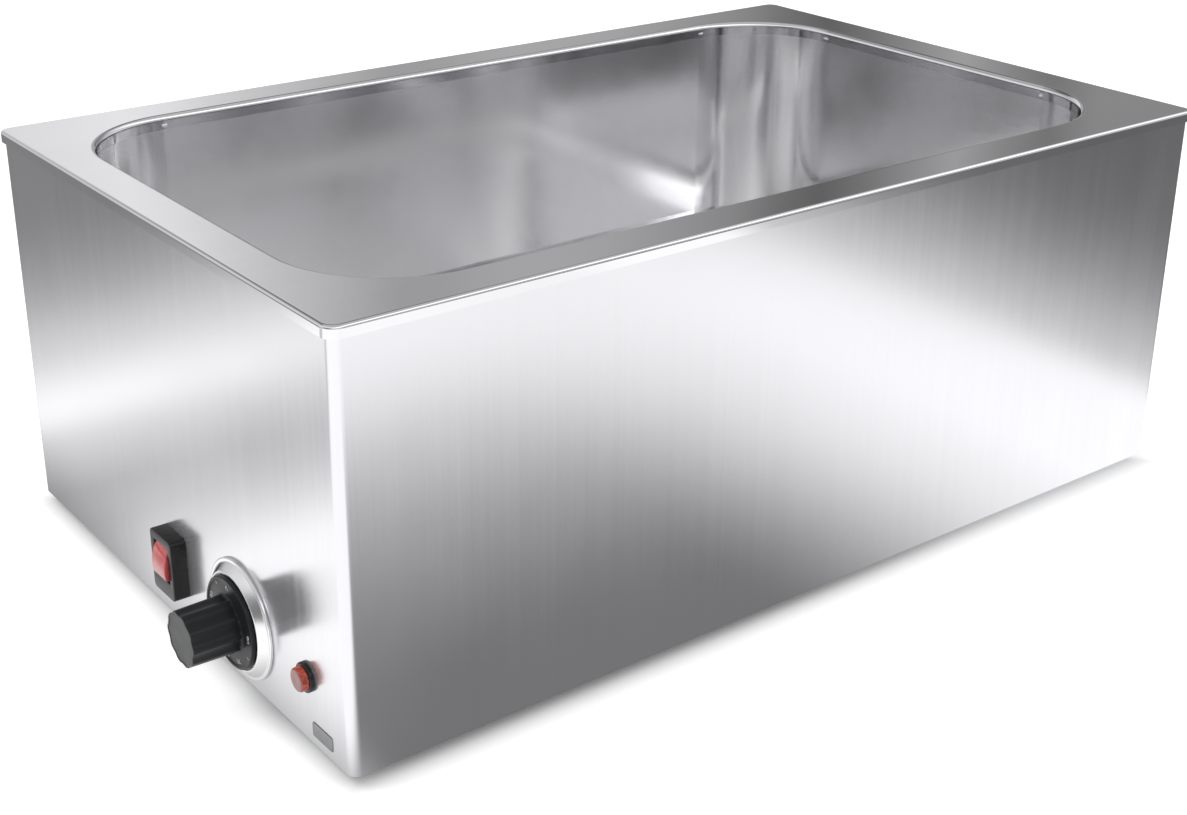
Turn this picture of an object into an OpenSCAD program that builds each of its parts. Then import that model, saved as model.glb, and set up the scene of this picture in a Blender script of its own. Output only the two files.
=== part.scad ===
// Counter-top bain marie with one full-size gastronorm well.
// X runs across the body, Y from the control panel at the front to the cable gland at the rear, Z up.
// The origin is the middle of the overall box on the table.

/* [Well and deck] */
// Width of the well's opening in the deck
opening_w = 305; // [296:1:340]
// Length of the well's opening in the deck
opening_l = 515; // [500:1:560]
// Plan radius of the opening's corners
opening_r = 60; // [45:1:75]
// Deck from the opening to each long edge
side_border = 27.5; // [26:0.5:45]
// Deck from the opening to the front edge
front_border = 25; // [24:0.5:45]
// Deck from the opening to the rear edge
rear_border = 30; // [26:0.5:60]
// Depth of the well below the deck
well_depth = 150; // [100:5:200]
// Sheet thickness of the deck
deck_t = 1; // [0.8:0.1:1.5]
// Sheet thickness of the well
well_t = 1; // [0.8:0.1:1.5]
// Radius between the well's walls and its floor
well_fillet_r = 18; // [12:1:25]
// Depth of the deck's folded outer edge
skirt_h = 6; // [5:0.5:12]
// Outside bend radius of the folded outer edge
skirt_bend_r = 1.8; // [1.6:0.1:3]
// Body's panels behind the start of the outer edge's bend
bend_gap = 0.2; // [0.2:0.1:1]
// Depth of the turned-down collar round the opening
collar_h = 8; // [6:0.5:12]
// Outside bend radius of the collar
collar_bend_r = 3; // [2.6:0.1:4]
// Gap between the collar and the well's wall
collar_gap = 0.2; // [0.2:0.1:0.4]
// Gap between the well's flange and the body's top flange
flange_gap = 1.5; // [1:0.1:3]

/* [Body] */
// Sheet thickness of the body and the rear panel
wall_t = 1; // [0.8:0.1:1.2]
// Sheet thickness of the base plate
base_t = 1; // [0.8:0.1:1.5]
// Outside radius of the body's vertical bends
body_bend_r = 5; // [4:0.5:7]
// Height of the space between the base plate and the well
under_space = 67.5; // [66:0.5:100]
// Width of the body's top flange
top_flange_w = 9; // [7:0.5:9]
// Width of the bottom flanges
bottom_flange_w = 14; // [12:0.5:20]
// Width of the returns behind the rear panel
rear_return_w = 20; // [18:0.5:28]
// Base plate edge behind the body's faces
base_inset = 1.5; // [1:0.5:3]
// Gap left at the rear panel's edges
panel_gap = 0.5; // [0.3:0.1:1]
// Width of a vent slot
vent_w = 4; // [3:0.5:6]
// Length of a vent slot
vent_l = 40; // [20:1:50]
// Distance between vent slots
vent_pitch = 14; // [10:0.5:18]
// Number of vent slots in a row
vent_count = 9; // [3:1:9]
// Base vents to the middle of the base plate
base_vent_y = 90; // [60:5:120]

/* [Feet and screws] */
// Height of the rubber feet
foot_h = 5.5; // [5:0.5:12]
// Radius of the rubber feet
foot_r = 12; // [10:0.5:16]
// Foot centres from the body's faces
foot_inset = 40; // [34:1:60]
// Depth of the screw's recess in a foot
foot_recess_h = 2.8; // [2.6:0.1:3]
// Radius of a pan-head screw's head
head_r = 3.5; // [3:0.1:3.8]
// Height of a pan-head screw's head
head_h = 2.2; // [1.8:0.1:2.2]
// Radius of the sheet-metal screws
screw_r = 1.9; // [1.5:0.1:2.2]
// Length of the sheet-metal screws under the head
screw_l = 7; // [5:0.5:10]
// Radial clearance of a screw in its hole
screw_gap = 0.15; // [0.1:0.05:0.3]
// Radial clearance where a thread is engaged
thread_gap = 0.05; // [0.03:0.01:0.1]
// Height of an M4 nut
nut_h = 3.2; // [2.5:0.1:4]
// Corner radius of an M4 nut
nut_r = 4.04; // [3.8:0.02:4.4]
// Base and rear screws from the ends of their rows
row_end = 62; // [58:1:90]

/* [Thermostat and knob] */
// Height of the controls above the body's bottom edge
control_h = 34.5; // [33:0.5:38]
// Pilot lamp from the body's right face
lamp_edge = 38; // [30:1:60]
// Knob to pilot lamp
knob_pitch = 63; // [50:1:70]
// Switch to knob
switch_pitch = 71; // [52:1:75]
// Outer radius of the bright bezel
bezel_r = 31; // [29:0.5:34]
// Height of the bezel's lip above the panel
bezel_h = 5.2; // [4.6:0.1:6]
// Thickness of the bezel's floor
bezel_t = 0.8; // [0.6:0.1:1]
// Width of the bezel's sloping flank
bezel_flank_w = 5.8; // [3:0.1:6]
// Radius of the bezel's outer bead
bezel_bead_r = 0.9; // [0.6:0.1:1.2]
// Gap between the bezel's lip and the knob's skirt
skirt_gap = 0.7; // [0.5:0.1:1.2]
// Back of the knob's skirt from the panel
knob_lift = 4.4; // [4.1:0.1:6]
// Thickness of the knob's skirt
knob_skirt_t = 3; // [2.5:0.1:5]
// Radius of the knob's grip at the skirt
grip_r = 14.8; // [12.5:0.1:15.5]
// Narrowing of the grip's radius to its end
grip_taper = 0.6; // [0:0.1:1.5]
// Length of the grip beyond the skirt
grip_l = 25; // [22:0.5:30]
// Number of flutes round the grip
flute_count = 10; // [6:1:12]
// Radius of a flute
flute_r = 8; // [5:0.5:12]
// Depth of a flute
flute_depth = 0.8; // [0.4:0.1:1.2]
// Chamfer at the grip's end
grip_chamfer = 0.8; // [0.4:0.1:1.2]
// Radius of the thermostat's shaft
shaft_r = 3; // [2.8:0.1:3.2]
// Radial running clearance of the shaft
shaft_gap = 0.05; // [0.03:0.01:0.08]
// Shaft beyond the panel
shaft_out = 20; // [16:0.5:22]
// Length of the shaft inside the thermostat
shaft_in = 22; // [15:0.5:23]
// Flat of the shaft from its axis
shaft_flat = 2; // [1.8:0.1:2.2]
// Thickness of the knob's spring
spring_t = 0.5; // [0.3:0.1:0.6]
// Width of the knob's spring
spring_w = 3; // [2:0.1:3.2]
// Length of the knob's spring
spring_l = 9; // [6:0.5:9]
// Radius of the thermostat's bush
bush_r = 5; // [4.5:0.1:5.5]
// Radial clearance round the bush in the panel and the bezel
bush_gap = 0.3; // [0.2:0.1:0.5]
// Bush end behind the panel's face
bush_back = 0.2; // [0.1:0.1:0.5]
// Thermostat box across
stat_w = 34; // [33.5:0.5:38]
// Thermostat box height
stat_h = 43; // [40:0.5:46]
// Thermostat box depth behind the panel
stat_d = 27; // [26:0.5:30]
// Thickness of the thermostat's mounting plate
stat_plate_t = 1.5; // [1.2:0.1:2]
// Mounting plate beyond the box at each side
stat_lip = 1; // [0.5:0.1:2]
// Box beyond the mounting plate, above and below
stat_reveal = 3; // [1:0.5:5]
// Clear depth behind the shaft and the screws
blind_gap = 0.5; // [0.3:0.1:1]
// Thermostat screws from the shaft
stat_screw_x = 14; // [13:0.5:15]
// Length of the thermostat screws under the head
stat_screw_l = 6; // [5:0.5:8]

/* [Switch and pilot lamp] */
// Switch housing across
switch_w = 24; // [20.5:0.5:26]
// Switch housing height
switch_h = 34; // [28.5:0.5:34]
// Switch housing beyond the panel
switch_out = 8.5; // [7.5:0.5:10]
// Corner radius of the switch housing
switch_r = 2.8; // [1:0.1:3]
// Step from the housing's edge to its body behind the panel
switch_step = 1.3; // [1:0.1:1.4]
// Depth of the switch body behind the panel
switch_in = 16; // [12:0.5:16]
// Gap between the switch body and the panel's cut-out
cutout_gap = 0.3; // [0.2:0.1:0.5]
// Rocker width
rocker_w = 14.8; // [12:0.1:15.2]
// Half the rocker's height, level
rocker_half = 8.8; // [7.5:0.1:10]
// Rocker's middle above the middle of its housing
rocker_up = 2; // [0:0.1:2]
// Rocker pivot behind the housing's face
pivot_back = 3.8; // [3.6:0.1:4.5]
// Rocker's ends in front of its pivot
rocker_rise = 4; // [3.8:0.1:4.6]
// Crown of the rocker's face over its ends
rocker_crown = 1.9; // [1:0.1:2.4]
// Rocker behind its pivot
rocker_drop = 3.2; // [2.5:0.1:4]
// Tilt from one position of the rocker to the other
rocker_tilt = 20; // [14:1:22]
// Gap between the rocker's ends and its opening at the level position
rocker_end_gap = 1.2; // [1.2:0.1:1.6]
// Gap at each side of the rocker
rocker_side_gap = 0.4; // [0.3:0.1:0.6]
// Radius of the rocker's pivot pins
pivot_r = 1.3; // [1:0.1:1.5]
// Radial clearance of the pivot pins
pivot_gap = 0.06; // [0.04:0.01:0.09]
// Length of the pivot pins in the housing
pivot_l = 1.2; // [0.8:0.1:1.4]
// Outer radius of the pilot lamp's collar
collar_r = 7.4; // [7.4:0.1:9]
// Thickness of the pilot lamp's collar
collar_t = 2.2; // [2:0.1:3.5]
// Radius of the pilot lamp's lens
lens_r = 6; // [6:0.1:7]
// Lens beyond the collar
lens_out = 3.6; // [3:0.1:6]
// Radius of the pilot lamp's body
pilot_r = 5; // [4:0.1:5.4]
// Depth of the pilot lamp's body behind the panel
pilot_in = 17; // [12:0.5:20]
// Radial clearance round the pilot lamp's body
pilot_gap = 0.2; // [0.1:0.05:0.4]
// Height of the pilot lamp's nut
pilot_nut_h = 3; // [2:0.5:5]
// Badge plate across
badge_w = 18; // [14:0.5:24]
// Badge plate height
badge_h = 7.5; // [6:0.5:9]
// Badge plate thickness
badge_t = 0.4; // [0.3:0.1:0.8]
// Badge plate's middle from the body's right face
badge_edge = 26; // [20:1:30]
// Badge plate's middle above the body's bottom edge
badge_up = 8.5; // [7:0.5:12]
// Corner radius of the badge plate
badge_r = 1; // [0.5:0.1:2]

/* [Heater] */
// Heat-spreading plate's side edge inside the opening's side
diffuser_side = 57.5; // [54:0.5:63]
// Length of the heat-spreading plate
diffuser_l = 380; // [330:1:400]
// Thickness of the heat-spreading plate
diffuser_t = 2; // [1.5:0.1:3]
// Radius of the heating element's tube
element_r = 4; // [3:0.1:4.2]
// Distance between the element's legs
element_pitch = 50; // [44:1:52]
// Straight length of an element leg behind the front bends
element_leg = 300; // [280:1:310]
// Element's two ends beyond the front bends
element_lead = 40; // [36:1:44]
// Gap between the element and what it lies against
element_gap = 0.3; // [0.2:0.1:0.4]
// Length of the element's terminal pins
pin_l = 14; // [12:0.5:16]
// Radius of the element's terminal pins
pin_r = 1.6; // [1.4:0.1:2]
// Distance of the clamp bars from the well's middle
clamp_y = 110; // [95:1:125]
// Width of a clamp bar
clamp_w = 20; // [16:0.5:26]
// Thickness of a clamp bar
clamp_t = 2; // [1.5:0.1:2.5]
// Clamp bar beyond the outer element legs
clamp_over = 12; // [8:0.5:16]
// Radius of the welded studs
stud_r = 2; // [1.8:0.1:2.2]
// Stud beyond its last nut
stud_over = 1; // [0.5:0.1:2]
// Air gap between the clamp nuts and the insulation
air_gap = 1.2; // [0.8:0.1:3]
// Thickness of the insulation board
board_t = 12; // [8:0.5:14]
// Width of the insulation board
board_w = 208; // [190:1:214]
// Length of the insulation board
board_l = 348; // [320:1:360]
// Gap round the insulation board
board_gap = 0.5; // [0.3:0.1:1]
// Sheet thickness of the heat shield
shield_t = 1; // [0.8:0.1:1.2]
// Radius of the sensor bulb
bulb_r = 3; // [2.5:0.1:3.5]
// Length of the sensor bulb
bulb_l = 80; // [60:1:100]
// Sensor bulb's middle outside the heat-spreading plate's side edge
bulb_out = 13; // [11.5:0.5:15]
// Front end of the sensor bulb from the well's middle
bulb_y = 160; // [150:1:165]
// Radius of the thermal cut-out
trip_r = 9; // [8:0.1:9.5]
// Height of the thermal cut-out
trip_h = 8; // [6:0.5:10]
// Thermal cut-out's middle outside the heat-spreading plate's side edge
trip_out = 13; // [12:0.5:16]
// Thermal cut-out's middle in front of the heat shield
trip_fore = 14.5; // [13:0.5:20]

/* [Wiring and gland] */
// Radius of the internal leads
lead_r = 1.3; // [1:0.1:1.5]
// Radius of the capillary tube
capillary_r = 1; // [0.8:0.1:1.2]
// Gland and terminal block from the body's left face
gland_edge = 68; // [62:1:80]
// Height of the gland above the body's bottom edge
gland_up = 33.5; // [28:0.5:38]
// Radius of the gland's thread
gland_r = 8; // [7.5:0.1:9]
// Corner radius of the gland's hexagons
gland_hex_r = 12.5; // [12:0.1:13.5]
// Height of the gland's hexagon
gland_hex_h = 5; // [4:0.5:7]
// Length of the gland's barrel beyond its hexagon
gland_barrel_l = 7; // [6:0.5:9]
// Length of the gland's thread behind the panel's face
gland_thread_l = 9; // [7:0.5:12]
// Radius of the cord's way through the seal
cord_bore_r = 4.1; // [3.2:0.1:4.4]
// Radius of the cord's way through the gland's hard parts
gland_bore_r = 4.8; // [4.6:0.1:5.2]
// Outer radius of the seal
seal_r = 6.5; // [6:0.1:6.8]
// Length of the seal
seal_l = 7; // [5:0.5:8]
// Length of the gland's cap
gland_cap_l = 12.5; // [11:0.5:16]
// Radial clearance of the gland's fits
gland_gap = 0.12; // [0.08:0.02:0.2]
// Height of the gland's locknut
locknut_h = 4; // [3:0.5:5]
// Terminal block's middle from the body's rear face
block_back = 70; // [60:1:90]
// Distance between the block's poles
pole_pitch = 11; // [9:0.5:12]
// Length of the terminal block along the leads
block_l = 18; // [14:0.5:22]
// Height of the terminal block
block_h = 15; // [12:0.5:18]
// Radius of the block's brass inserts
insert_r = 3; // [2.4:0.1:3.4]
// Brass insert beyond the block at each end
insert_out = 0.6; // [0.4:0.1:1]
// Blade terminal width
blade_w = 6.3; // [4.8:0.1:6.5]
// Blade terminal thickness
blade_t = 0.8; // [0.6:0.1:1]
// Blade terminal length
blade_l = 8; // [6:0.5:9]
// Radius of the earth stud
earth_r = 2.5; // [2:0.1:3]
// Height of the earth stud
earth_h = 11; // [8:0.5:14]
// Corner radius of the earth nut
earth_nut_r = 4.6; // [4.4:0.1:5]
// Height of the earth nut
earth_nut_h = 4; // [3:0.5:5]
// Earth stud from the terminal block's middle
earth_fore = 55; // [48:1:65]

/* [Hidden] */

// Small overlap of a cut past the face that it opens
cut = 1;
// Facets: large rounds, bends and small rounds
fn_large = 96;
fn_bend = 32;
fn_small = 40;

// Overall sizes
rim_overhang = skirt_bend_r + bend_gap;
rim_corner_r = body_bend_r + rim_overhang;
deck_w = opening_w + 2 * side_border;
deck_l = opening_l + front_border + rear_border;
body_w = deck_w - 2 * rim_overhang;
body_l = deck_l - 2 * rim_overhang;

// Heights
body_z = foot_h + base_t;
under_z = body_z + under_space;
floor_z = under_z + well_t;
deck_z = floor_z + well_depth;
body_top_z = deck_z - deck_t;
control_z = body_z + control_h;
gland_z = body_z + gland_up;

// What the knob and the gland reach beyond the body
knob_out = knob_lift + knob_skirt_t + grip_l;
gland_cap_z = gland_hex_h + 0.5;
gland_out = gland_cap_z + gland_cap_l;

// Lengthwise places
mid_y = (knob_out - wall_t - gland_out) / 2;
front_y = mid_y - body_l / 2;
rear_y = mid_y + body_l / 2;
open_y = mid_y + (front_border - rear_border) / 2;

// Crosswise places of the controls
lamp_x = body_w / 2 - lamp_edge;
knob_x = lamp_x - knob_pitch;
switch_x = knob_x - switch_pitch;
badge_x = body_w / 2 - badge_edge;
gland_x = body_w / 2 - gland_edge;

// Well, measured at its inner face
well_w = opening_w + 2 * (deck_t + collar_gap);
well_l = opening_l + 2 * (deck_t + collar_gap);
well_r = opening_r + deck_t + collar_gap;
least_border = min(side_border, front_border, rear_border);
well_flange_w = least_border - rim_overhang - wall_t - top_flange_w - flange_gap
    - deck_t - collar_gap - well_t;
well_bend_r = collar_bend_r - deck_t;
deck_land = 2;

// Switch
switch_body_w = switch_w - 2 * switch_step;
switch_body_h = switch_h - 2 * switch_step;
cavity_w = rocker_w + 2 * rocker_side_gap;
cavity_h = 2 * (rocker_half + rocker_end_gap);
cavity_d = pivot_back + rocker_half;
tab_x = 5;
tab_z = 8;
tab_y = front_y + switch_in + blade_l;

// Thermostat
stat_tab_x = 8;
stat_tab_z = 12;
stat_tab_y = front_y + stat_d + blade_l;
bezel_lip_r = bezel_r - bezel_flank_w;
bezel_wall_t = 0.9;
knob_skirt_r = bezel_lip_r - bezel_wall_t - skirt_gap;
knob_bore_l = shaft_out - knob_lift + 1;

// Pilot lamp
pilot_tab_x = 2.8;
pilot_blade_w = 2.8;
pilot_tab_y = front_y + pilot_in + blade_l;
spigot_gap = 0.1;

// Heater, from the well's underside down
diffuser_w = opening_w - 2 * diffuser_side;
diffuser_z = under_z - diffuser_t;
element_z = diffuser_z - element_gap - element_r;
clamp_z = element_z - element_r - element_gap - clamp_t;
clamp_nut_z = clamp_z - nut_h;
board_z = clamp_nut_z - air_gap - board_t;
shield_z = board_z - shield_t;
shield_nut_z = shield_z - nut_h;
stud_x = element_pitch;
element_outer_x = 1.5 * element_pitch;
element_end_y = open_y - element_leg / 2 - element_pitch / 2 - element_lead;
pin_y = element_end_y - pin_l;
bulb_x = diffuser_w / 2 + bulb_out;
bulb_z = under_z - element_gap - bulb_r;
bulb_end_y = open_y - bulb_y;
trip_x = diffuser_w / 2 + trip_out;
trip_tab_x = 5;
trip_blade_w = 4;
trip_z = under_z - trip_h;
trip_mid_y = open_y - board_l / 2 - board_gap - shield_t - trip_fore;

// Terminal block and earth
block_x = -gland_x;
block_y = rear_y - block_back;
block_z = body_z + block_h / 2;
block_front_y = block_y - block_l / 2 - insert_out;
earth_x = block_x + pole_pitch;
earth_y = block_y - earth_fore;
lug_t = 0.8;
lug_r = 5;
lug_barrel_r = 1.8;
lug_barrel_l = 6;
lug_reach = 7;
lug_z = body_z + lug_barrel_r + 0.2;

// Routes of the internal leads and the capillary tube: each starts and ends square on its terminal
route_capillary =
    let (start = [knob_x + 10, front_y + stat_d, control_z + stat_h / 2 - 5]) [
        start, start + [0, 8, 0], start + [4, 20, 1], [bulb_x - 2, bulb_end_y - 44, start[2] + 4],
        [bulb_x, bulb_end_y - 18, bulb_z], [bulb_x, bulb_end_y - 6, bulb_z], [bulb_x, bulb_end_y, bulb_z]
    ];
route_supply_live =
    let (s = [block_x - pole_pitch, block_front_y, block_z],
         e = [switch_x - tab_x, tab_y, control_z - tab_z]) [
        s, s + [0, -10, 0], s + [0, -32, -4], s + [0, -90, -4], [s[0], mid_y, block_z - 4],
        [s[0], front_y + 150, block_z - 4], [s[0] + 18, front_y + 108, block_z - 2],
        e + [-60, 56, -14], e + [-16, 34, -5], e + [0, 12, 0], e + [0, 4, 0], e
    ];
route_supply_neutral =
    let (s = [block_x, block_front_y, block_z],
         e = [switch_x + tab_x, tab_y, control_z - tab_z]) [
        s, s + [0, -10, 0], s + [0, -32, -4], s + [0, -90, -4], [s[0], mid_y, block_z - 4],
        [s[0], front_y + 158, block_z - 4], [s[0] + 20, front_y + 120, block_z - 2],
        e + [-56, 70, -14], e + [-12, 42, -5], e + [0, 12, 0], e + [0, 4, 0], e
    ];
route_switch_live =
    let (s = [switch_x - tab_x, tab_y, control_z + tab_z],
         e = [knob_x - stat_tab_x, stat_tab_y, control_z - stat_tab_z]) [
        s, s + [0, 5, 0], s + [3, 15, 1], [(s[0] + e[0]) / 2, e[1] + 22, (s[2] + e[2]) / 2 + 4],
        e + [-3, 17, 2], e + [0, 6, 0], e
    ];
route_thermostat_cutout =
    let (s = [knob_x + stat_tab_x, stat_tab_y, control_z - stat_tab_z],
         e = [-trip_x - trip_tab_x, trip_mid_y, trip_z - blade_l]) [
        s, s + [0, 6, 0], s + [-6, 22, 3], s + [-40, 36, 12], [e[0] + 60, s[1] + 40, s[2] + 12],
        e + [10, -6, -24], e + [0, 0, -12], e + [0, 0, -4], e
    ];
route_cutout_heater =
    let (s = [-trip_x + trip_tab_x, trip_mid_y, trip_z - blade_l],
         e = [-element_outer_x, pin_y, element_z]) [
        s, s + [0, 0, -4], s + [1, -3, -12], [(s[0] + e[0]) / 2, (s[1] + e[1]) / 2 - 8, s[2] - 14],
        e + [0, -16, -8], e + [0, -9, -1], e + [0, -4, 0], e
    ];
route_heater_neutral =
    let (s = [switch_x + tab_x, tab_y, control_z + tab_z],
         e = [element_outer_x, pin_y, element_z]) [
        s, s + [0, 4, 0], s + [6, 10, 2], [(s[0] + e[0]) / 2, e[1] - 8, (s[2] + e[2]) / 2 + 3],
        e + [-8, -14, -3], e + [0, -7, 0], e + [0, -3, 0], e
    ];
route_lamp_live =
    let (s = [knob_x + stat_tab_x, stat_tab_y, control_z + stat_tab_z],
         e = [lamp_x - pilot_tab_x, pilot_tab_y, control_z]) [
        s, s + [0, 5, 0], s + [5, 12, 0], [(s[0] + e[0]) / 2, s[1] + 12, (s[2] + e[2]) / 2],
        e + [-3, 16, 1], e + [0, 5, 0], e
    ];
route_lamp_neutral =
    let (s = [switch_x + tab_x, tab_y, control_z],
         e = [lamp_x + pilot_tab_x, pilot_tab_y, control_z],
         low = control_z - stat_h / 2 - 4) [
        s, s + [0, 5, 0], s + [2, 12, -3], [s[0] + 18, s[1] + 30, low], [knob_x, s[1] + 32, low],
        [e[0] - 16, e[1] + 30, low + 4], e + [0, 15, -4], e + [0, 5, 0], e
    ];
route_earth =
    let (s = [block_x + pole_pitch, block_front_y, block_z],
         e = [earth_x, earth_y + lug_reach + lug_barrel_l, lug_z]) [
        s, s + [0, -5, 0], s + [0, -11, -0.6], e + [0, 10, 0.6], e + [0, 4, 0], e
    ];

// Points on an arc about a centre
function arc(c, r, from, to, steps = 8) =
    [for (i = [0 : steps]) c + r * [cos(from + (to - from) * i / steps), sin(from + (to - from) * i / steps)]];

// A smooth curve through control points, with its ends straight
function curve_point(a, b, c, d, t) =
    0.5 * (2 * b + (c - a) * t + (2 * a - 5 * b + 4 * c - d) * t * t + (3 * b - a - 3 * c + d) * t * t * t);
function route(p, steps) =
    let (n = len(p) - 1)
    concat([p[0]], [for (i = [1 : n - 2]) each [for (k = [0 : steps - 1])
        curve_point(p[i - 1], p[i], p[i + 1], p[i + 2], k / steps)]], [p[n - 1], p[n]]);
function unit(v) = v / norm(v);
function tangents(p) =
    let (n = len(p) - 1)
    [for (i = [0 : n]) i == 0 ? unit(p[1] - p[0]) : i == n ? unit(p[n] - p[n - 1])
        : unit(unit(p[i + 1] - p[i]) + unit(p[i] - p[i - 1]))];
function carried(t, side, i = 0) =
    i >= len(t) ? [] : let (s = unit(side - (side * t[i]) * t[i])) concat([s], carried(t, s, i + 1));

// A round lead or tube along a route, square at both ends
module lead(points, r, sides = 8, steps = 3) {
    path = route(points, steps);
    t = tangents(path);
    s = carried(t, [0.02, 0.03, 1]);
    n = len(path);
    rings = [for (i = [0 : n - 1]) each [for (k = [0 : sides - 1])
        let (a = 360 * k / sides) path[i] + r * (cos(a) * s[i] + sin(a) * cross(t[i], s[i]))]];
    skin = [for (i = [0 : n - 2]) each [for (k = [0 : sides - 1]) each
        let (a = i * sides + k, b = i * sides + (k + 1) % sides)
        [[a, a + sides, b], [b, a + sides, b + sides]]]];
    ends = [for (k = [1 : sides - 2]) each
        [[0, k, k + 1], [(n - 1) * sides, (n - 1) * sides + k + 1, (n - 1) * sides + k]]];
    polyhedron(rings, concat(skin, ends));
}

// A rectangle with round corners
module rounded(w, l, r) {
    square([w - 2 * r, l], center = true);
    square([w, l - 2 * r], center = true);
    for (x = [-1, 1], y = [-1, 1])
        translate([x * (w / 2 - r), y * (l / 2 - r)]) circle(r, $fn = fn_large);
}

// A profile taken round a rectangle with round corners: profile x is outwards, profile y is up
module swept(w, l, r) {
    for (c = [[1, 1, 0], [-1, 1, 90], [-1, -1, 180], [1, -1, 270]])
        translate([c[0] * (w / 2 - r), c[1] * (l / 2 - r), 0]) rotate([0, 0, c[2]])
            rotate_extrude(angle = 90, $fn = fn_large) translate([r, 0]) children();
    for (turn = [0, 180]) {
        rotate([0, 0, turn]) translate([w / 2, 0, 0]) rotate([90, 0, 0])
            linear_extrude(l - 2 * r, center = true) children();
        rotate([0, 0, turn + 90]) translate([l / 2, 0, 0]) rotate([90, 0, 0])
            linear_extrude(w - 2 * r, center = true) children();
    }
}

// A quarter of a bent sheet's section: the bend's middle is at the origin, the sheet on the sx, sy side
module bend(r, t, sx, sy) {
    intersection() {
        difference() {
            circle(r, $fn = fn_bend);
            circle(r - t, $fn = fn_bend);
        }
        translate([sx > 0 ? 0 : -r, sy > 0 ? 0 : -r]) square(r);
    }
}

// Places on the panels, where z is outwards
module on_front(x, z) {
    translate([x, front_y, z]) rotate([90, 0, 0]) children();
}
module on_rear(x, z) {
    translate([x, rear_y + wall_t, z]) rotate([-90, 0, 0]) children();
}

// The screws that close the body
base_side_x = body_w / 2 - wall_t - bottom_flange_w / 2;
base_spots = concat(
    [for (x = [-1, 1], y = [-1, 0, 1]) [x * base_side_x, mid_y + y * (body_l / 2 - row_end)]],
    [for (x = [-1, 1]) [x * (body_w / 2 - row_end), front_y + wall_t + bottom_flange_w / 2]],
    [for (x = [-1, 1]) [x * (body_w / 2 - row_end), rear_y - bottom_flange_w / 2]]
);
rear_screw_x = body_w / 2 - body_bend_r - (rear_return_w - body_bend_r) / 2;
rear_panel_z = [body_z, deck_z - skirt_h - panel_gap];
rear_spots = [for (x = [-1, 1], z = [0.12, 0.5, 0.88])
    [x * rear_screw_x, rear_panel_z[0] + z * (rear_panel_z[1] - rear_panel_z[0])]];
foot_spots = [for (y = [-1, 1], x = [-1, 1])
    [x * (body_w / 2 - foot_inset), mid_y + y * (body_l / 2 - foot_inset)]];

// A pan-head screw: the head's underside at the origin, the shank along -z
module pan_screw(r, l, head = head_r, h = head_h) {
    crown = 0.7;
    rotate_extrude($fn = fn_small) polygon([
        [0, -l], [r - 0.4, -l], [r, 0.4 - l], [r, 0], [head, 0], [head, h - crown], [head - crown, h],
        [1, h], [0.8, h - 1], [0, h - 1]
    ]);
}
module nut(r, hole, h) {
    difference() {
        cylinder(r = r, h = h, $fn = 6);
        translate([0, 0, -cut]) cylinder(r = hole, h = h + 2 * cut, $fn = fn_small);
    }
}
module blade(w = blade_w) {
    translate([-w / 2, -blade_t / 2, 0]) cube([w, blade_t, blade_l]);
}

// Deck: top plate, folded outer edge and turned-down collar
module deck() {
    flat_edge = skirt_bend_r + deck_land;
    flat_collar = collar_bend_r + deck_land;
    color("lightgray") {
        translate([0, mid_y, deck_z]) swept(deck_w, deck_l, rim_corner_r) {
            translate([-deck_t, -skirt_h]) square([deck_t, skirt_h - skirt_bend_r]);
            translate([-skirt_bend_r, -skirt_bend_r]) bend(skirt_bend_r, deck_t, 1, 1);
            translate([-flat_edge, -deck_t]) square([deck_land, deck_t]);
        }
        translate([0, open_y, deck_z]) swept(opening_w, opening_l, opening_r) {
            translate([0, -collar_h]) square([deck_t, collar_h - collar_bend_r]);
            translate([collar_bend_r, -collar_bend_r]) bend(collar_bend_r, deck_t, -1, 1);
            translate([collar_bend_r, -deck_t]) square([deck_land, deck_t]);
        }
        translate([0, 0, deck_z - deck_t]) linear_extrude(deck_t) difference() {
            translate([0, mid_y])
                rounded(deck_w - 2 * flat_edge, deck_l - 2 * flat_edge, rim_corner_r - flat_edge);
            translate([0, open_y]) rounded(opening_w + 2 * flat_collar, opening_l + 2 * flat_collar,
                opening_r + flat_collar);
        }
    }
}

// Well: pressed tank, hung by its flange under the deck
module well() {
    top = well_depth - deck_t;
    bend_mid = well_t + well_bend_r;
    color("silver") {
        translate([0, open_y, floor_z]) swept(well_w, well_l, well_r) {
            translate([-well_fillet_r, well_fillet_r]) bend(well_fillet_r + well_t, well_t, 1, -1);
            translate([0, well_fillet_r]) square([well_t, top - bend_mid - well_fillet_r]);
            translate([bend_mid, top - bend_mid]) bend(bend_mid, well_t, -1, 1);
            translate([bend_mid, top - well_t]) square([well_t + well_flange_w - bend_mid, well_t]);
        }
        translate([0, open_y, under_z]) linear_extrude(well_t) rounded(well_w - 2 * well_fillet_r,
            well_l - 2 * well_fillet_r, well_r - well_fillet_r);
    }
}

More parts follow.
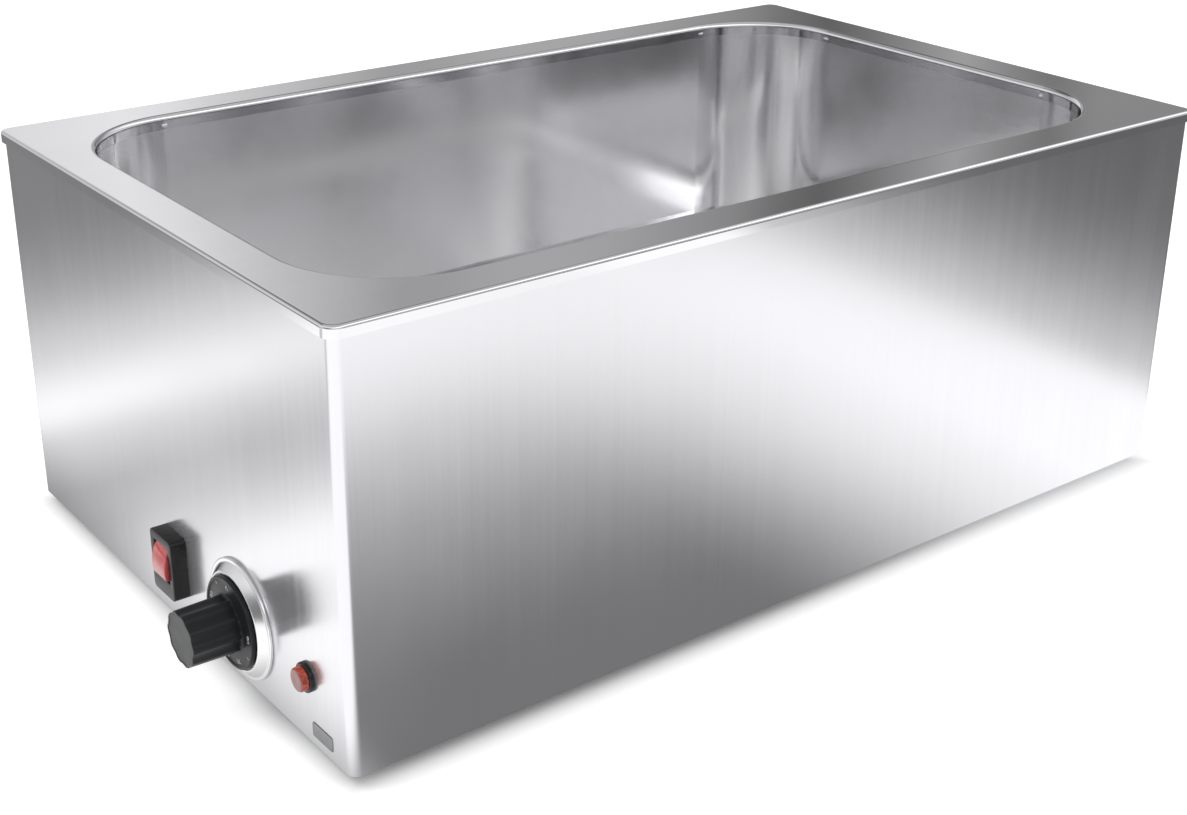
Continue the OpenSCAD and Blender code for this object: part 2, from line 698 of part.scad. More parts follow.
// Body: one sheet bent round the front and both long sides, with flanges and rear returns
module body_wrap() {
    flange_h = body_top_z - body_z;
    rear_gap_w = body_w - 2 * rear_return_w;
    color("gainsboro") difference() {
        union() {
            translate([0, mid_y, body_z]) linear_extrude(flange_h) difference() {
                rounded(body_w, body_l, body_bend_r);
                rounded(body_w - 2 * wall_t, body_l - 2 * wall_t, body_bend_r - wall_t);
            }
            for (f = [[body_z, bottom_flange_w], [body_top_z - wall_t, top_flange_w]])
                translate([0, mid_y, f[0]]) linear_extrude(wall_t) difference() {
                    rounded(body_w, body_l, body_bend_r);
                    square([body_w - 2 * (wall_t + f[1]), body_l - 2 * (wall_t + f[1])], center = true);
                }
        }
        translate([-rear_gap_w / 2, rear_y - bottom_flange_w - 2 * wall_t, body_z - cut])
            cube([rear_gap_w, bottom_flange_w + 2 * wall_t + cut, flange_h + 2 * cut]);
        on_front(switch_x, control_z) translate([0, 0, -wall_t - cut]) linear_extrude(wall_t + 2 * cut)
            square([switch_body_w + 2 * cutout_gap, switch_body_h + 2 * cutout_gap], center = true);
        on_front(knob_x, control_z) translate([0, 0, -wall_t - cut])
            cylinder(r = bush_r + bush_gap, h = wall_t + 2 * cut, $fn = fn_small);
        for (x = [-1, 1]) on_front(knob_x + x * stat_screw_x, control_z) translate([0, 0, -wall_t - cut])
            cylinder(r = stud_r + screw_gap, h = wall_t + 2 * cut, $fn = fn_small);
        on_front(lamp_x, control_z) translate([0, 0, -wall_t - cut])
            cylinder(r = pilot_r + pilot_gap, h = wall_t + 2 * cut, $fn = fn_small);
        for (p = base_spots) translate([p[0], p[1], body_z - cut])
            cylinder(r = screw_r + screw_gap, h = wall_t + 2 * cut, $fn = fn_small);
        for (p = rear_spots) translate([p[0], rear_y + cut, p[1]]) rotate([90, 0, 0])
            cylinder(r = screw_r + screw_gap, h = wall_t + 2 * cut, $fn = fn_small);
    }
}

// A row of upright vent slots, cut along z
module vents(l) {
    for (i = [0 : vent_count - 1]) translate([(i - (vent_count - 1) / 2) * vent_pitch, 0, 0])
        rounded(vent_w, l, vent_w / 2 - 0.01);
}

module rear_panel() {
    w = body_w - 2 * (body_bend_r + panel_gap);
    h = rear_panel_z[1] - rear_panel_z[0];
    flange_w = body_w - 2 * (rear_return_w + panel_gap);
    color("gainsboro") difference() {
        union() {
            translate([-w / 2, rear_y, body_z]) cube([w, wall_t, h]);
            translate([-flange_w / 2, rear_y - bottom_flange_w, body_z])
                cube([flange_w, bottom_flange_w, wall_t]);
        }
        on_rear(0, rear_panel_z[0] + h * 0.72) translate([0, 0, -wall_t - cut])
            linear_extrude(wall_t + 2 * cut) vents(vent_l);
        on_rear(-gland_x, gland_z) translate([0, 0, -wall_t - cut])
            cylinder(r = gland_r + gland_gap, h = wall_t + 2 * cut, $fn = fn_small);
        for (p = rear_spots) on_rear(p[0], p[1]) translate([0, 0, -wall_t - cut])
            cylinder(r = screw_r + screw_gap, h = wall_t + 2 * cut, $fn = fn_small);
        for (p = base_spots) translate([p[0], p[1], body_z - cut])
            cylinder(r = screw_r + screw_gap, h = wall_t + 2 * cut, $fn = fn_small);
    }
}

module base_plate() {
    w = body_w - 2 * base_inset;
    l = body_l - 2 * base_inset;
    color("silver") difference() {
        translate([0, mid_y, foot_h]) linear_extrude(base_t) rounded(w, l, body_bend_r);
        for (y = [-1, 1]) translate([0, mid_y + y * base_vent_y, foot_h - cut])
            linear_extrude(base_t + 2 * cut) vents(vent_l);
        for (p = base_spots) translate([p[0], p[1], foot_h - cut])
            cylinder(r = screw_r + screw_gap, h = base_t + 2 * cut, $fn = fn_small);
        for (p = foot_spots) translate([p[0], p[1], foot_h - cut])
            cylinder(r = stud_r + screw_gap, h = base_t + 2 * cut, $fn = fn_small);
    }
}

module foot(i) {
    edge = 1;
    color("dimgray") translate([foot_spots[i][0], foot_spots[i][1], 0]) difference() {
        rotate_extrude($fn = fn_small) polygon([
            [0, 0], [foot_r - edge, 0], [foot_r, edge], [foot_r, foot_h], [0, foot_h]
        ]);
        translate([0, 0, -cut]) cylinder(r = head_r + 0.6, h = foot_recess_h + cut, $fn = fn_small);
        translate([0, 0, -cut]) cylinder(r = stud_r + screw_gap, h = foot_h + 2 * cut, $fn = fn_small);
    }
}

// Four countersunk-in-rubber screws with their nuts on the base plate
module foot_fasteners() {
    shank = foot_h - foot_recess_h + base_t + nut_h + stud_over;
    color("gray") for (p = foot_spots) translate([p[0], p[1], 0]) {
        translate([0, 0, foot_recess_h]) mirror([0, 0, 1]) pan_screw(stud_r, shank);
        translate([0, 0, body_z]) nut(nut_r, stud_r + thread_gap, nut_h);
    }
}

module base_screws() {
    color("gray") for (p = base_spots) translate([p[0], p[1], foot_h]) mirror([0, 0, 1])
        pan_screw(screw_r, screw_l);
}

module rear_screws() {
    color("gray") for (p = rear_spots) on_rear(p[0], p[1]) pan_screw(screw_r, screw_l);
}

// Bezel: flat floor, sloping bright flank with an outer bead and a round lip
module thermostat_bezel() {
    lip = bezel_wall_t / 2;
    bead = bezel_bead_r;
    color("whitesmoke") on_front(knob_x, control_z) difference() {
        rotate_extrude($fn = fn_large) polygon(concat(
            [[0, 0], [bezel_r - bead, 0]],
            arc([bezel_r - bead, bead], bead, -90, 60),
            [[bezel_r - 2.2 * bead, 1.9 * bead]],
            arc([bezel_lip_r - lip, bezel_h - lip], lip, 45, 180),
            [[bezel_lip_r - 2 * lip, bezel_t], [0, bezel_t]]
        ));
        translate([0, 0, -cut]) cylinder(r = bush_r + bush_gap, h = bezel_t + 2 * cut, $fn = fn_small);
        for (x = [-1, 1]) translate([x * stat_screw_x, 0, -cut])
            cylinder(r = stud_r + screw_gap, h = bezel_t + 2 * cut, $fn = fn_small);
    }
}

// Knob: skirt with a raised edge, fluted grip, D bore for the shaft
module control_knob() {
    rim_w = 1.6;
    rim_drop = 0.7;
    base_c = 0.5;
    base_ring_h = base_c + 0.1;
    face = knob_skirt_t;
    end = knob_skirt_t + grip_l;
    end_r = grip_r - grip_taper;
    color("#1c1d1f") on_front(knob_x, control_z) translate([0, 0, knob_lift]) difference() {
        rotate_extrude($fn = fn_large) polygon(concat(
            [[0, 0], [knob_skirt_r - 0.5, 0], [knob_skirt_r, 0.5]],
            arc([knob_skirt_r - 0.8, face - 0.8], 0.8, 0, 90, 4),
            [[knob_skirt_r - rim_w, face], [knob_skirt_r - rim_w - 0.5, face - rim_drop],
                [grip_r + base_c, face], [grip_r, face + base_c], [end_r, end - grip_chamfer],
                [end_r - grip_chamfer, end], [0, end]]
        ));
        for (i = [0 : flute_count - 1]) rotate([0, 0, 360 * (i + 0.5) / flute_count])
            translate([end_r + flute_r - flute_depth, 0, face + base_ring_h])
                cylinder(r = flute_r, h = grip_l + cut, $fn = fn_small);
        translate([0, 0, -cut]) difference() {
            cylinder(r = shaft_r + shaft_gap, h = knob_bore_l + cut, $fn = fn_small);
            translate([-shaft_r - cut, shaft_flat + spring_t + shaft_gap, knob_bore_l + cut - spring_l - 1])
                cube([2 * shaft_r + 2 * cut, shaft_r, spring_l + 2]);
        }
    }
}

module knob_spring() {
    color("gold") on_front(knob_x, control_z)
        translate([-spring_w / 2, shaft_flat, shaft_out - spring_l]) cube([spring_w, spring_t, spring_l]);
}

module thermostat_shaft() {
    flat_l = spring_l + 1.5;
    color("lightsteelblue") on_front(knob_x, control_z) difference() {
        translate([0, 0, -shaft_in]) cylinder(r = shaft_r, h = shaft_in + shaft_out, $fn = fn_small);
        translate([-shaft_r - cut, shaft_flat, shaft_out - flat_l])
            cube([2 * (shaft_r + cut), shaft_r + cut, flat_l + cut]);
    }
}

module thermostat_body() {
    plate_h = stat_h - 2 * stat_reveal;
    color("tan") on_front(knob_x, control_z) difference() {
        union() {
            translate([-stat_w / 2, -plate_h / 2, -wall_t - stat_plate_t])
                cube([stat_w, plate_h, stat_plate_t]);
            translate([-stat_w / 2 + stat_lip, -stat_h / 2, -stat_d])
                cube([stat_w - 2 * stat_lip, stat_h, stat_d - wall_t - stat_plate_t]);
            translate([0, 0, -wall_t - cut]) cylinder(r = bush_r, h = wall_t + cut - bush_back, $fn = fn_small);
        }
        translate([0, 0, -shaft_in - blind_gap])
            cylinder(r = shaft_r + shaft_gap, h = shaft_in + cut + blind_gap, $fn = fn_small);
        for (x = [-1, 1]) translate([x * stat_screw_x, 0, -stat_screw_l - blind_gap])
            cylinder(r = stud_r + thread_gap, h = stat_screw_l + blind_gap, $fn = fn_small);
    }
}

module thermostat_screws() {
    color("gray") for (x = [-1, 1]) on_front(knob_x + x * stat_screw_x, control_z)
        translate([0, 0, bezel_t]) pan_screw(stud_r, stat_screw_l);
}

module thermostat_terminals() {
    spots = [[-1, -1], [1, -1], [1, 1]];
    color("gold") for (s = spots) on_front(knob_x + s[0] * stat_tab_x, control_z + s[1] * stat_tab_z)
        translate([0, 0, -stat_d]) mirror([0, 0, 1]) blade();
}

module capillary_tube() {
    color("chocolate") lead(route_capillary, capillary_r);
}

module sensor_bulb() {
    color("chocolate") translate([bulb_x, bulb_end_y, bulb_z]) rotate([-90, 0, 0])
        cylinder(r = bulb_r, h = bulb_l, $fn = fn_small);
}

// Two spring clips that hold the bulb against the well
module bulb_clips() {
    clip_w = 8;
    clip_t = 0.8;
    ear = 5;
    gap = 0.2;
    inner = bulb_r + gap;
    drop = under_z - bulb_z;
    color("silver") for (s = [0.25, 0.75]) translate([bulb_x, bulb_end_y + s * bulb_l - clip_w / 2, bulb_z])
        rotate([-90, 0, 0]) linear_extrude(clip_w) {
            difference() {
                circle(inner + clip_t, $fn = fn_small);
                circle(inner, $fn = fn_small);
                translate([-inner - cut, -inner - 2 * cut]) square([2 * (inner + cut), inner + 2 * cut]);
            }
            for (x = [-1, 1]) {
                translate([x * (inner + clip_t / 2) - clip_t / 2, -drop]) square([clip_t, drop]);
                translate([x > 0 ? inner : -inner - ear, -drop]) square([ear, clip_t]);
            }
        }
}

// Switch housing: raised frame on the panel, body behind it, cavity and pivot holes for the rocker
module switch_housing() {
    lead_in = 0.8;
    color("#202124") on_front(switch_x, control_z) difference() {
        union() {
            linear_extrude(switch_out - lead_in) rounded(switch_w, switch_h, switch_r);
            translate([0, 0, switch_out - lead_in]) linear_extrude(lead_in)
                rounded(switch_w - lead_in, switch_h - lead_in, switch_r - lead_in / 2);
            translate([0, 0, -switch_in / 2]) cube([switch_body_w, switch_body_h, switch_in], center = true);
        }
        translate([-cavity_w / 2, rocker_up - cavity_h / 2, switch_out - cavity_d])
            cube([cavity_w, cavity_h, cavity_d + cut]);
        for (x = [-1, 1])
            translate([x * cavity_w / 2, rocker_up, switch_out - pivot_back]) rotate([0, x * 90, 0])
                translate([0, 0, -cut])
                    cylinder(r = pivot_r + pivot_gap, h = pivot_l + pivot_gap + cut, $fn = fn_small);
    }
}

// Rocker, drawn level about its pivot and set with its lower end out
module switch_rocker() {
    shoulder = 1;
    crown_steps = 16;
    foot_half = rocker_half * 0.65;
    crown_r = (pow(rocker_half, 2) + pow(rocker_crown, 2)) / (2 * rocker_crown);
    crown_z = rocker_rise + rocker_crown - crown_r;
    crown_a = asin(rocker_half / crown_r);
    color("#d8342c") on_front(switch_x, control_z) translate([0, rocker_up, switch_out - pivot_back])
        rotate([-rocker_tilt / 2, 0, 0]) {
            rotate([90, 0, 90]) linear_extrude(rocker_w, center = true) polygon(concat(
                [[-rocker_half, shoulder], [-foot_half, -rocker_drop], [foot_half, -rocker_drop],
                    [rocker_half, shoulder]],
                arc([0, crown_z], crown_r, 90 - crown_a, 90 + crown_a, crown_steps)
            ));
            for (x = [-1, 1]) translate([x * (rocker_w / 2 - 1), 0, 0]) rotate([0, x * 90, 0])
                cylinder(r = pivot_r, h = 1 + rocker_side_gap + pivot_l, $fn = fn_small);
        }
}

module switch_terminals() {
    color("gold") for (x = [-1, 1], z = [-1, 0, 1])
        on_front(switch_x + x * tab_x, control_z + z * tab_z) translate([0, 0, -switch_in])
            mirror([0, 0, 1]) blade();
}

module pilot_collar() {
    edge = 0.6;
    inner = pilot_r + pilot_gap;
    color("#202124") on_front(lamp_x, control_z) rotate_extrude($fn = fn_large) polygon([
        [inner, 0], [collar_r, 0], [collar_r, collar_t - edge], [collar_r - edge, collar_t], [inner, collar_t]
    ]);
}

// Lens: a round-edged cap on the collar with a spigot down to the lamp's body
module pilot_lens() {
    edge = 1.4;
    top = collar_t + lens_out;
    color("#c8281e") on_front(lamp_x, control_z) rotate_extrude($fn = fn_large) polygon(concat(
        [[0, 1], [pilot_r, 1], [pilot_r, collar_t], [lens_r, collar_t]],
        arc([lens_r - edge, top - edge], edge, 0, 90, 6),
        [[0, top]]
    ));
}

module pilot_body() {
    color("ivory") on_front(lamp_x, control_z) translate([0, 0, -pilot_in])
        cylinder(r = pilot_r, h = pilot_in + 1, $fn = fn_small);
}

module pilot_nut() {
    color("dimgray") on_front(lamp_x, control_z) translate([0, 0, -wall_t - pilot_nut_h])
        nut(collar_r, pilot_r + spigot_gap, pilot_nut_h);
}

module pilot_terminals() {
    color("gold") for (x = [-1, 1]) on_front(lamp_x + x * pilot_tab_x, control_z)
        translate([0, 0, -pilot_in]) mirror([0, 0, 1]) blade(pilot_blade_w);
}

module badge_plate() {
    color("darkgray") on_front(badge_x, body_z + badge_up) linear_extrude(badge_t)
        rounded(badge_w, badge_h, badge_r);
}

// Where the studs stand on the well's underside
stud_spots = [for (x = [-1, 1], y = [-1, 1]) [x * stud_x, open_y + y * clamp_y]];

module well_studs() {
    l = under_z - shield_nut_z + stud_over;
    color("gray") for (p = stud_spots) translate([p[0], p[1], under_z - l])
        cylinder(r = stud_r, h = l, $fn = fn_small);
}

module diffuser_plate() {
    color("lightsteelblue") difference() {
        translate([0, open_y, diffuser_z]) linear_extrude(diffuser_t) rounded(diffuser_w, diffuser_l, 8);
        for (p = stud_spots) translate([p[0], p[1], diffuser_z - cut])
            cylinder(r = stud_r + screw_gap, h = diffuser_t + 2 * cut, $fn = fn_small);
    }
}

// Tubular element: four legs, joined by round bends, both ends at the front
module heating_element() {
    r = element_pitch / 2;
    color("dimgray") translate([0, open_y, element_z]) {
        for (i = [0 : 3]) {
            outer = i == 0 || i == 3;
            l = outer ? element_leg + r + element_lead : element_leg;
            translate([(i - 1.5) * element_pitch, element_leg / 2, 0]) rotate([90, 0, 0])
                cylinder(r = element_r, h = l, $fn = fn_small);
        }
        for (x = [-1, 1]) translate([x * element_pitch, element_leg / 2, 0])
            rotate_extrude(angle = 180, $fn = fn_large) translate([r, 0]) circle(element_r, $fn = fn_small);
        translate([0, -element_leg / 2, 0]) rotate([0, 0, 180])
            rotate_extrude(angle = 180, $fn = fn_large) translate([r, 0]) circle(element_r, $fn = fn_small);
    }
}

module element_terminals() {
    color("gold") for (x = [-1, 1]) translate([x * element_outer_x, element_end_y, element_z])
        rotate([90, 0, 0]) cylinder(r = pin_r, h = pin_l, $fn = fn_small);
}

module element_clamps() {
    l = 2 * (element_outer_x + clamp_over);
    color("silver") difference() {
        for (y = [-1, 1]) translate([-l / 2, open_y + y * clamp_y - clamp_w / 2, clamp_z])
            cube([l, clamp_w, clamp_t]);
        for (p = stud_spots) translate([p[0], p[1], clamp_z - cut])
            cylinder(r = stud_r + screw_gap, h = clamp_t + 2 * cut, $fn = fn_small);
    }
}

module heater_nuts() {
    color("gray") for (p = stud_spots, z = [clamp_nut_z, shield_nut_z]) translate([p[0], p[1], z])
        nut(nut_r, stud_r + thread_gap, nut_h);
}

module insulation_board() {
    color("wheat") difference() {
        translate([-board_w / 2, open_y - board_l / 2, board_z]) cube([board_w, board_l, board_t]);
        for (p = stud_spots) translate([p[0], p[1], board_z - cut])
            cylinder(r = stud_r + board_gap, h = board_t + 2 * cut, $fn = fn_small);
    }
}

module heat_shield() {
    w = board_w + 2 * (board_gap + shield_t);
    l = board_l + 2 * (board_gap + shield_t);
    color("silver") difference() {
        translate([-w / 2, open_y - l / 2, shield_z]) cube([w, l, board_t + shield_t]);
        translate([-w / 2 + shield_t, open_y - l / 2 + shield_t, board_z])
            cube([w - 2 * shield_t, l - 2 * shield_t, board_t + cut]);
        for (p = stud_spots) translate([p[0], p[1], shield_z - cut])
            cylinder(r = stud_r + screw_gap, h = shield_t + 2 * cut, $fn = fn_small);
    }
}

module thermal_cutout() {
    color("#2b2b2b") translate([-trip_x, trip_mid_y, trip_z]) cylinder(r = trip_r, h = trip_h, $fn = fn_small);
}

// Strap under the cut-out, with its feet on the well
module cutout_bracket() {
    w = 4;
    t = 0.8;
    gap = 0.3;
    half = trip_r + gap;
    ear = 8;
    color("silver") translate([-trip_x - w / 2, trip_mid_y, 0]) {
        translate([0, -half - t, trip_z - t]) cube([w, 2 * (half + t), t]);
        for (y = [-1, 1]) {
            translate([0, y > 0 ? half : -half - t, trip_z - t]) cube([w, t, trip_h + t]);
            translate([0, y > 0 ? half : -half - ear, under_z - t]) cube([w, ear, t]);
        }
    }
}

module cutout_terminals() {
    color("gold") for (x = [-1, 1]) translate([-trip_x + x * trip_tab_x, trip_mid_y, trip_z])
        mirror([0, 0, 1]) rotate([0, 0, 90]) blade(trip_blade_w);
}

module terminal_block() {
    w = 3 * pole_pitch + 2;
    color("whitesmoke") difference() {
        translate([block_x - w / 2, block_y - block_l / 2, body_z]) cube([w, block_l, block_h]);
        for (i = [-1 : 1]) translate([block_x + i * pole_pitch, block_y + block_l / 2 + cut, block_z])
            rotate([90, 0, 0]) cylinder(r = insert_r + thread_gap, h = block_l + 2 * cut, $fn = fn_small);
    }
}

module block_terminals() {
    l = block_l + 2 * insert_out;
    color("gold") for (i = [-1 : 1]) translate([block_x + i * pole_pitch, block_y + l / 2, block_z])
        rotate([90, 0, 0]) cylinder(r = insert_r, h = l, $fn = fn_small);
}

module earth_stud() {
    color("gold") translate([earth_x, earth_y, body_z]) cylinder(r = earth_r, h = earth_h, $fn = fn_small);
}

module earth_lug() {
    color("lightgray") translate([earth_x, earth_y, body_z]) difference() {
        union() {
            cylinder(r = lug_r, h = lug_t, $fn = fn_small);
            translate([-lug_barrel_r, 0, 0]) cube([2 * lug_barrel_r, lug_reach + 1, lug_t]);
            translate([0, lug_reach, lug_z - body_z]) rotate([-90, 0, 0])
                cylinder(r = lug_barrel_r, h = lug_barrel_l, $fn = fn_small);
            translate([-lug_barrel_r / 2, lug_reach, 0]) cube([lug_barrel_r, 2, lug_z - body_z]);
        }
        translate([0, 0, -cut]) cylinder(r = earth_r + screw_gap, h = lug_t + 2 * cut, $fn = fn_small);
    }
}

module earth_nut() {
    color("gold") translate([earth_x, earth_y, body_z + lug_t]) nut(earth_nut_r, earth_r + thread_gap, earth_nut_h);
}

// Gland: hexagon and barrel outside, thread through the panel, seat for the seal
module gland_body() {
    color("#2a2a2c") on_rear(-gland_x, gland_z) difference() {
        union() {
            cylinder(r = gland_hex_r, h = gland_hex_h, $fn = 6);
            translate([0, 0, -gland_thread_l])
                cylinder(r = gland_r, h = gland_thread_l + gland_hex_h + gland_barrel_l, $fn = fn_small);
        }
        translate([0, 0, -gland_thread_l - cut])
            cylinder(r = gland_bore_r, h = gland_thread_l + gland_out, $fn = fn_small);
        translate([0, 0, gland_hex_h + gland_barrel_l - seal_l + 1])
            cylinder(r = seal_r + gland_gap, h = seal_l, $fn = fn_small);
    }
}

module gland_seal() {
    color("#111112") on_rear(-gland_x, gland_z) translate([0, 0, gland_hex_h + gland_barrel_l - seal_l + 1])
        difference() {
            cylinder(r = seal_r, h = seal_l, $fn = fn_small);
            translate([0, 0, -cut]) cylinder(r = cord_bore_r, h = seal_l + 2 * cut, $fn = fn_small);
        }
}

module gland_cap() {
    inner_h = gland_hex_h + gland_barrel_l + 1.2 - gland_cap_z;
    dome = 2.5;
    color("#2a2a2c") on_rear(-gland_x, gland_z) translate([0, 0, gland_cap_z]) difference() {
        union() {
            cylinder(r = gland_hex_r - 0.5, h = gland_cap_l - dome - 1, $fn = 6);
            rotate_extrude($fn = fn_small) polygon(concat(
                [[0, 0], [gland_r + 2.6, 0]],
                arc([gland_r + 2.6 - dome, gland_cap_l - dome], dome, 0, 90, 6), [[0, gland_cap_l]]
            ));
        }
        translate([0, 0, -cut]) cylinder(r = gland_r + gland_gap, h = inner_h + cut, $fn = fn_small);
        translate([0, 0, -cut]) cylinder(r = gland_bore_r, h = gland_cap_l + 2 * cut, $fn = fn_small);
    }
}

module gland_locknut() {
    color("#2a2a2c") on_rear(-gland_x, gland_z) translate([0, 0, -wall_t - locknut_h])
        nut(gland_hex_r, gland_r + gland_gap, locknut_h);
}

// Internal leads
module lead_supply_live() {
    color("saddlebrown") lead(route_supply_live, lead_r);
}

module lead_supply_neutral() {
    color("steelblue") lead(route_supply_neutral, lead_r);
}

module lead_switch_live() {
    color("saddlebrown") lead(route_switch_live, lead_r);
}

module lead_thermostat_cutout() {
    color("saddlebrown") lead(route_thermostat_cutout, lead_r);
}

module lead_cutout_heater() {
    color("tomato") lead(route_cutout_heater, lead_r);
}

module lead_heater_neutral() {
    color("steelblue") lead(route_heater_neutral, lead_r);
}

module lead_lamp_live() {
    color("saddlebrown") lead(route_lamp_live, lead_r);
}

module lead_lamp_neutral() {
    color("steelblue") lead(route_lamp_neutral, lead_r);
}

module lead_earth() {
    color("yellowgreen") lead(route_earth, lead_r);
}

deck();
well();
body_wrap();
rear_panel();
base_plate();
foot(0);  // foot_front_left
foot(1);  // foot_front_right
foot(2);  // foot_rear_left
foot(3);  // foot_rear_right
foot_fasteners();
base_screws();
rear_screws();
thermostat_bezel();
control_knob();
knob_spring();
thermostat_shaft();
thermostat_body();
thermostat_screws();
thermostat_terminals();
capillary_tube();
sensor_bulb();
bulb_clips();
switch_housing();
switch_rocker();
switch_terminals();
pilot_collar();
pilot_lens();
pilot_body();
pilot_nut();
pilot_terminals();
badge_plate();
well_studs();
diffuser_plate();
heating_element();
element_terminals();
element_clamps();
heater_nuts();
insulation_board();
heat_shield();
thermal_cutout();
cutout_bracket();
cutout_terminals();
terminal_block();
block_terminals();
earth_stud();
earth_nut();
earth_lug();
gland_body();
gland_seal();
gland_cap();
gland_locknut();
lead_supply_live();
lead_supply_neutral();
lead_switch_live();
lead_thermostat_cutout();
lead_cutout_heater();
lead_heater_neutral();
lead_lamp_live();
lead_lamp_neutral();
lead_earth();
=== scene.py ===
"""Looks of a counter-top bain marie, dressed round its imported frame.

The frame gives every rigid piece at its real place. This script gives each one its
finish, models the pieces whose shape asks for more than the frame holds, and sets the
stage: a pale floor, soft light and the camera.
"""

import logging
import math
from collections.abc import Callable
from dataclasses import dataclass
from enum import Enum
from itertools import product

import bmesh
import bpy
from mathutils import Matrix, Vector

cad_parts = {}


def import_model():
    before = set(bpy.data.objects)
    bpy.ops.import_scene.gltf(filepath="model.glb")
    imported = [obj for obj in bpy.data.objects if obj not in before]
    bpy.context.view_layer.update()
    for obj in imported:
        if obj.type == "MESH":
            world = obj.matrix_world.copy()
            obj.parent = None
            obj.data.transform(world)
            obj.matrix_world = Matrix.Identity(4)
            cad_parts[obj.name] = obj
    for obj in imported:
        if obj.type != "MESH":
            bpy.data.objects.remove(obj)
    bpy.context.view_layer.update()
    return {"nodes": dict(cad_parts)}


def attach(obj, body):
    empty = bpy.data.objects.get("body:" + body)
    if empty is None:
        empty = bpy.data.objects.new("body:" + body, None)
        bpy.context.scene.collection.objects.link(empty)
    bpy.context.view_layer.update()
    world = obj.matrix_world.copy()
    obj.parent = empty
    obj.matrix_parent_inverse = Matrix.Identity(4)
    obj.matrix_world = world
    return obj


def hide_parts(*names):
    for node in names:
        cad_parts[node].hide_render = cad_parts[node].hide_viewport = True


LOG = logging.getLogger("bain_marie")

# Forms are made in millimetres, and the scene is in metres
MM = 0.001
# Heights in a form that differ by less than this are the same
LEVEL = 0.001
# Corners of a turned form that are closer than this are joined
TOUCHING = 0.0005
# Steps in each rounded corner of a turned profile
CORNER_STEPS = 5

# Front of the control panel, and the height of the controls' middle on it
PANEL_FRONT = -276.3
CONTROL_HEIGHT = 41.0

# Width of the photograph in pixels, and of the camera's sensor
FRAME_PIXELS = 1187.0
SENSOR_MM = 36.0

# Depth in metres of brushed lines, of stains and of a moulding's texture
GRAIN_BUMP = 0.00003
STAIN_BUMP = 0.00004
TEXTURE_BUMP = 0.00002

Colour = tuple[float, float, float]
Triple = tuple[float, float, float]
Pair = tuple[float, float]
Stops = tuple[Pair, ...]
Profile = tuple[Triple, ...]
Socket = bpy.types.NodeSocket
Form = bmesh.types.BMesh
Face = bmesh.types.BMFace

WHITE: Colour = (1.0, 1.0, 1.0)


class Grain(Enum):
    """Which way a metal's brushing runs: noise scale along X, Y and Z, per metre."""

    UPRIGHT = (900.0, 900.0, 3.0)
    LENGTHWISE = (900.0, 3.0, 900.0)
    SATIN = (420.0, 420.0, 420.0)


class Group(Enum):
    """The node groups that more than one finish places."""

    BRUSHING = "brushing"
    CLOUDING = "clouding"
    SPECKLE = "speckle"


class Ease(Enum):
    """How a mapped value goes from one end of its range to the other."""

    SMOOTH = "SMOOTHSTEP"
    EVEN = "LINEAR"


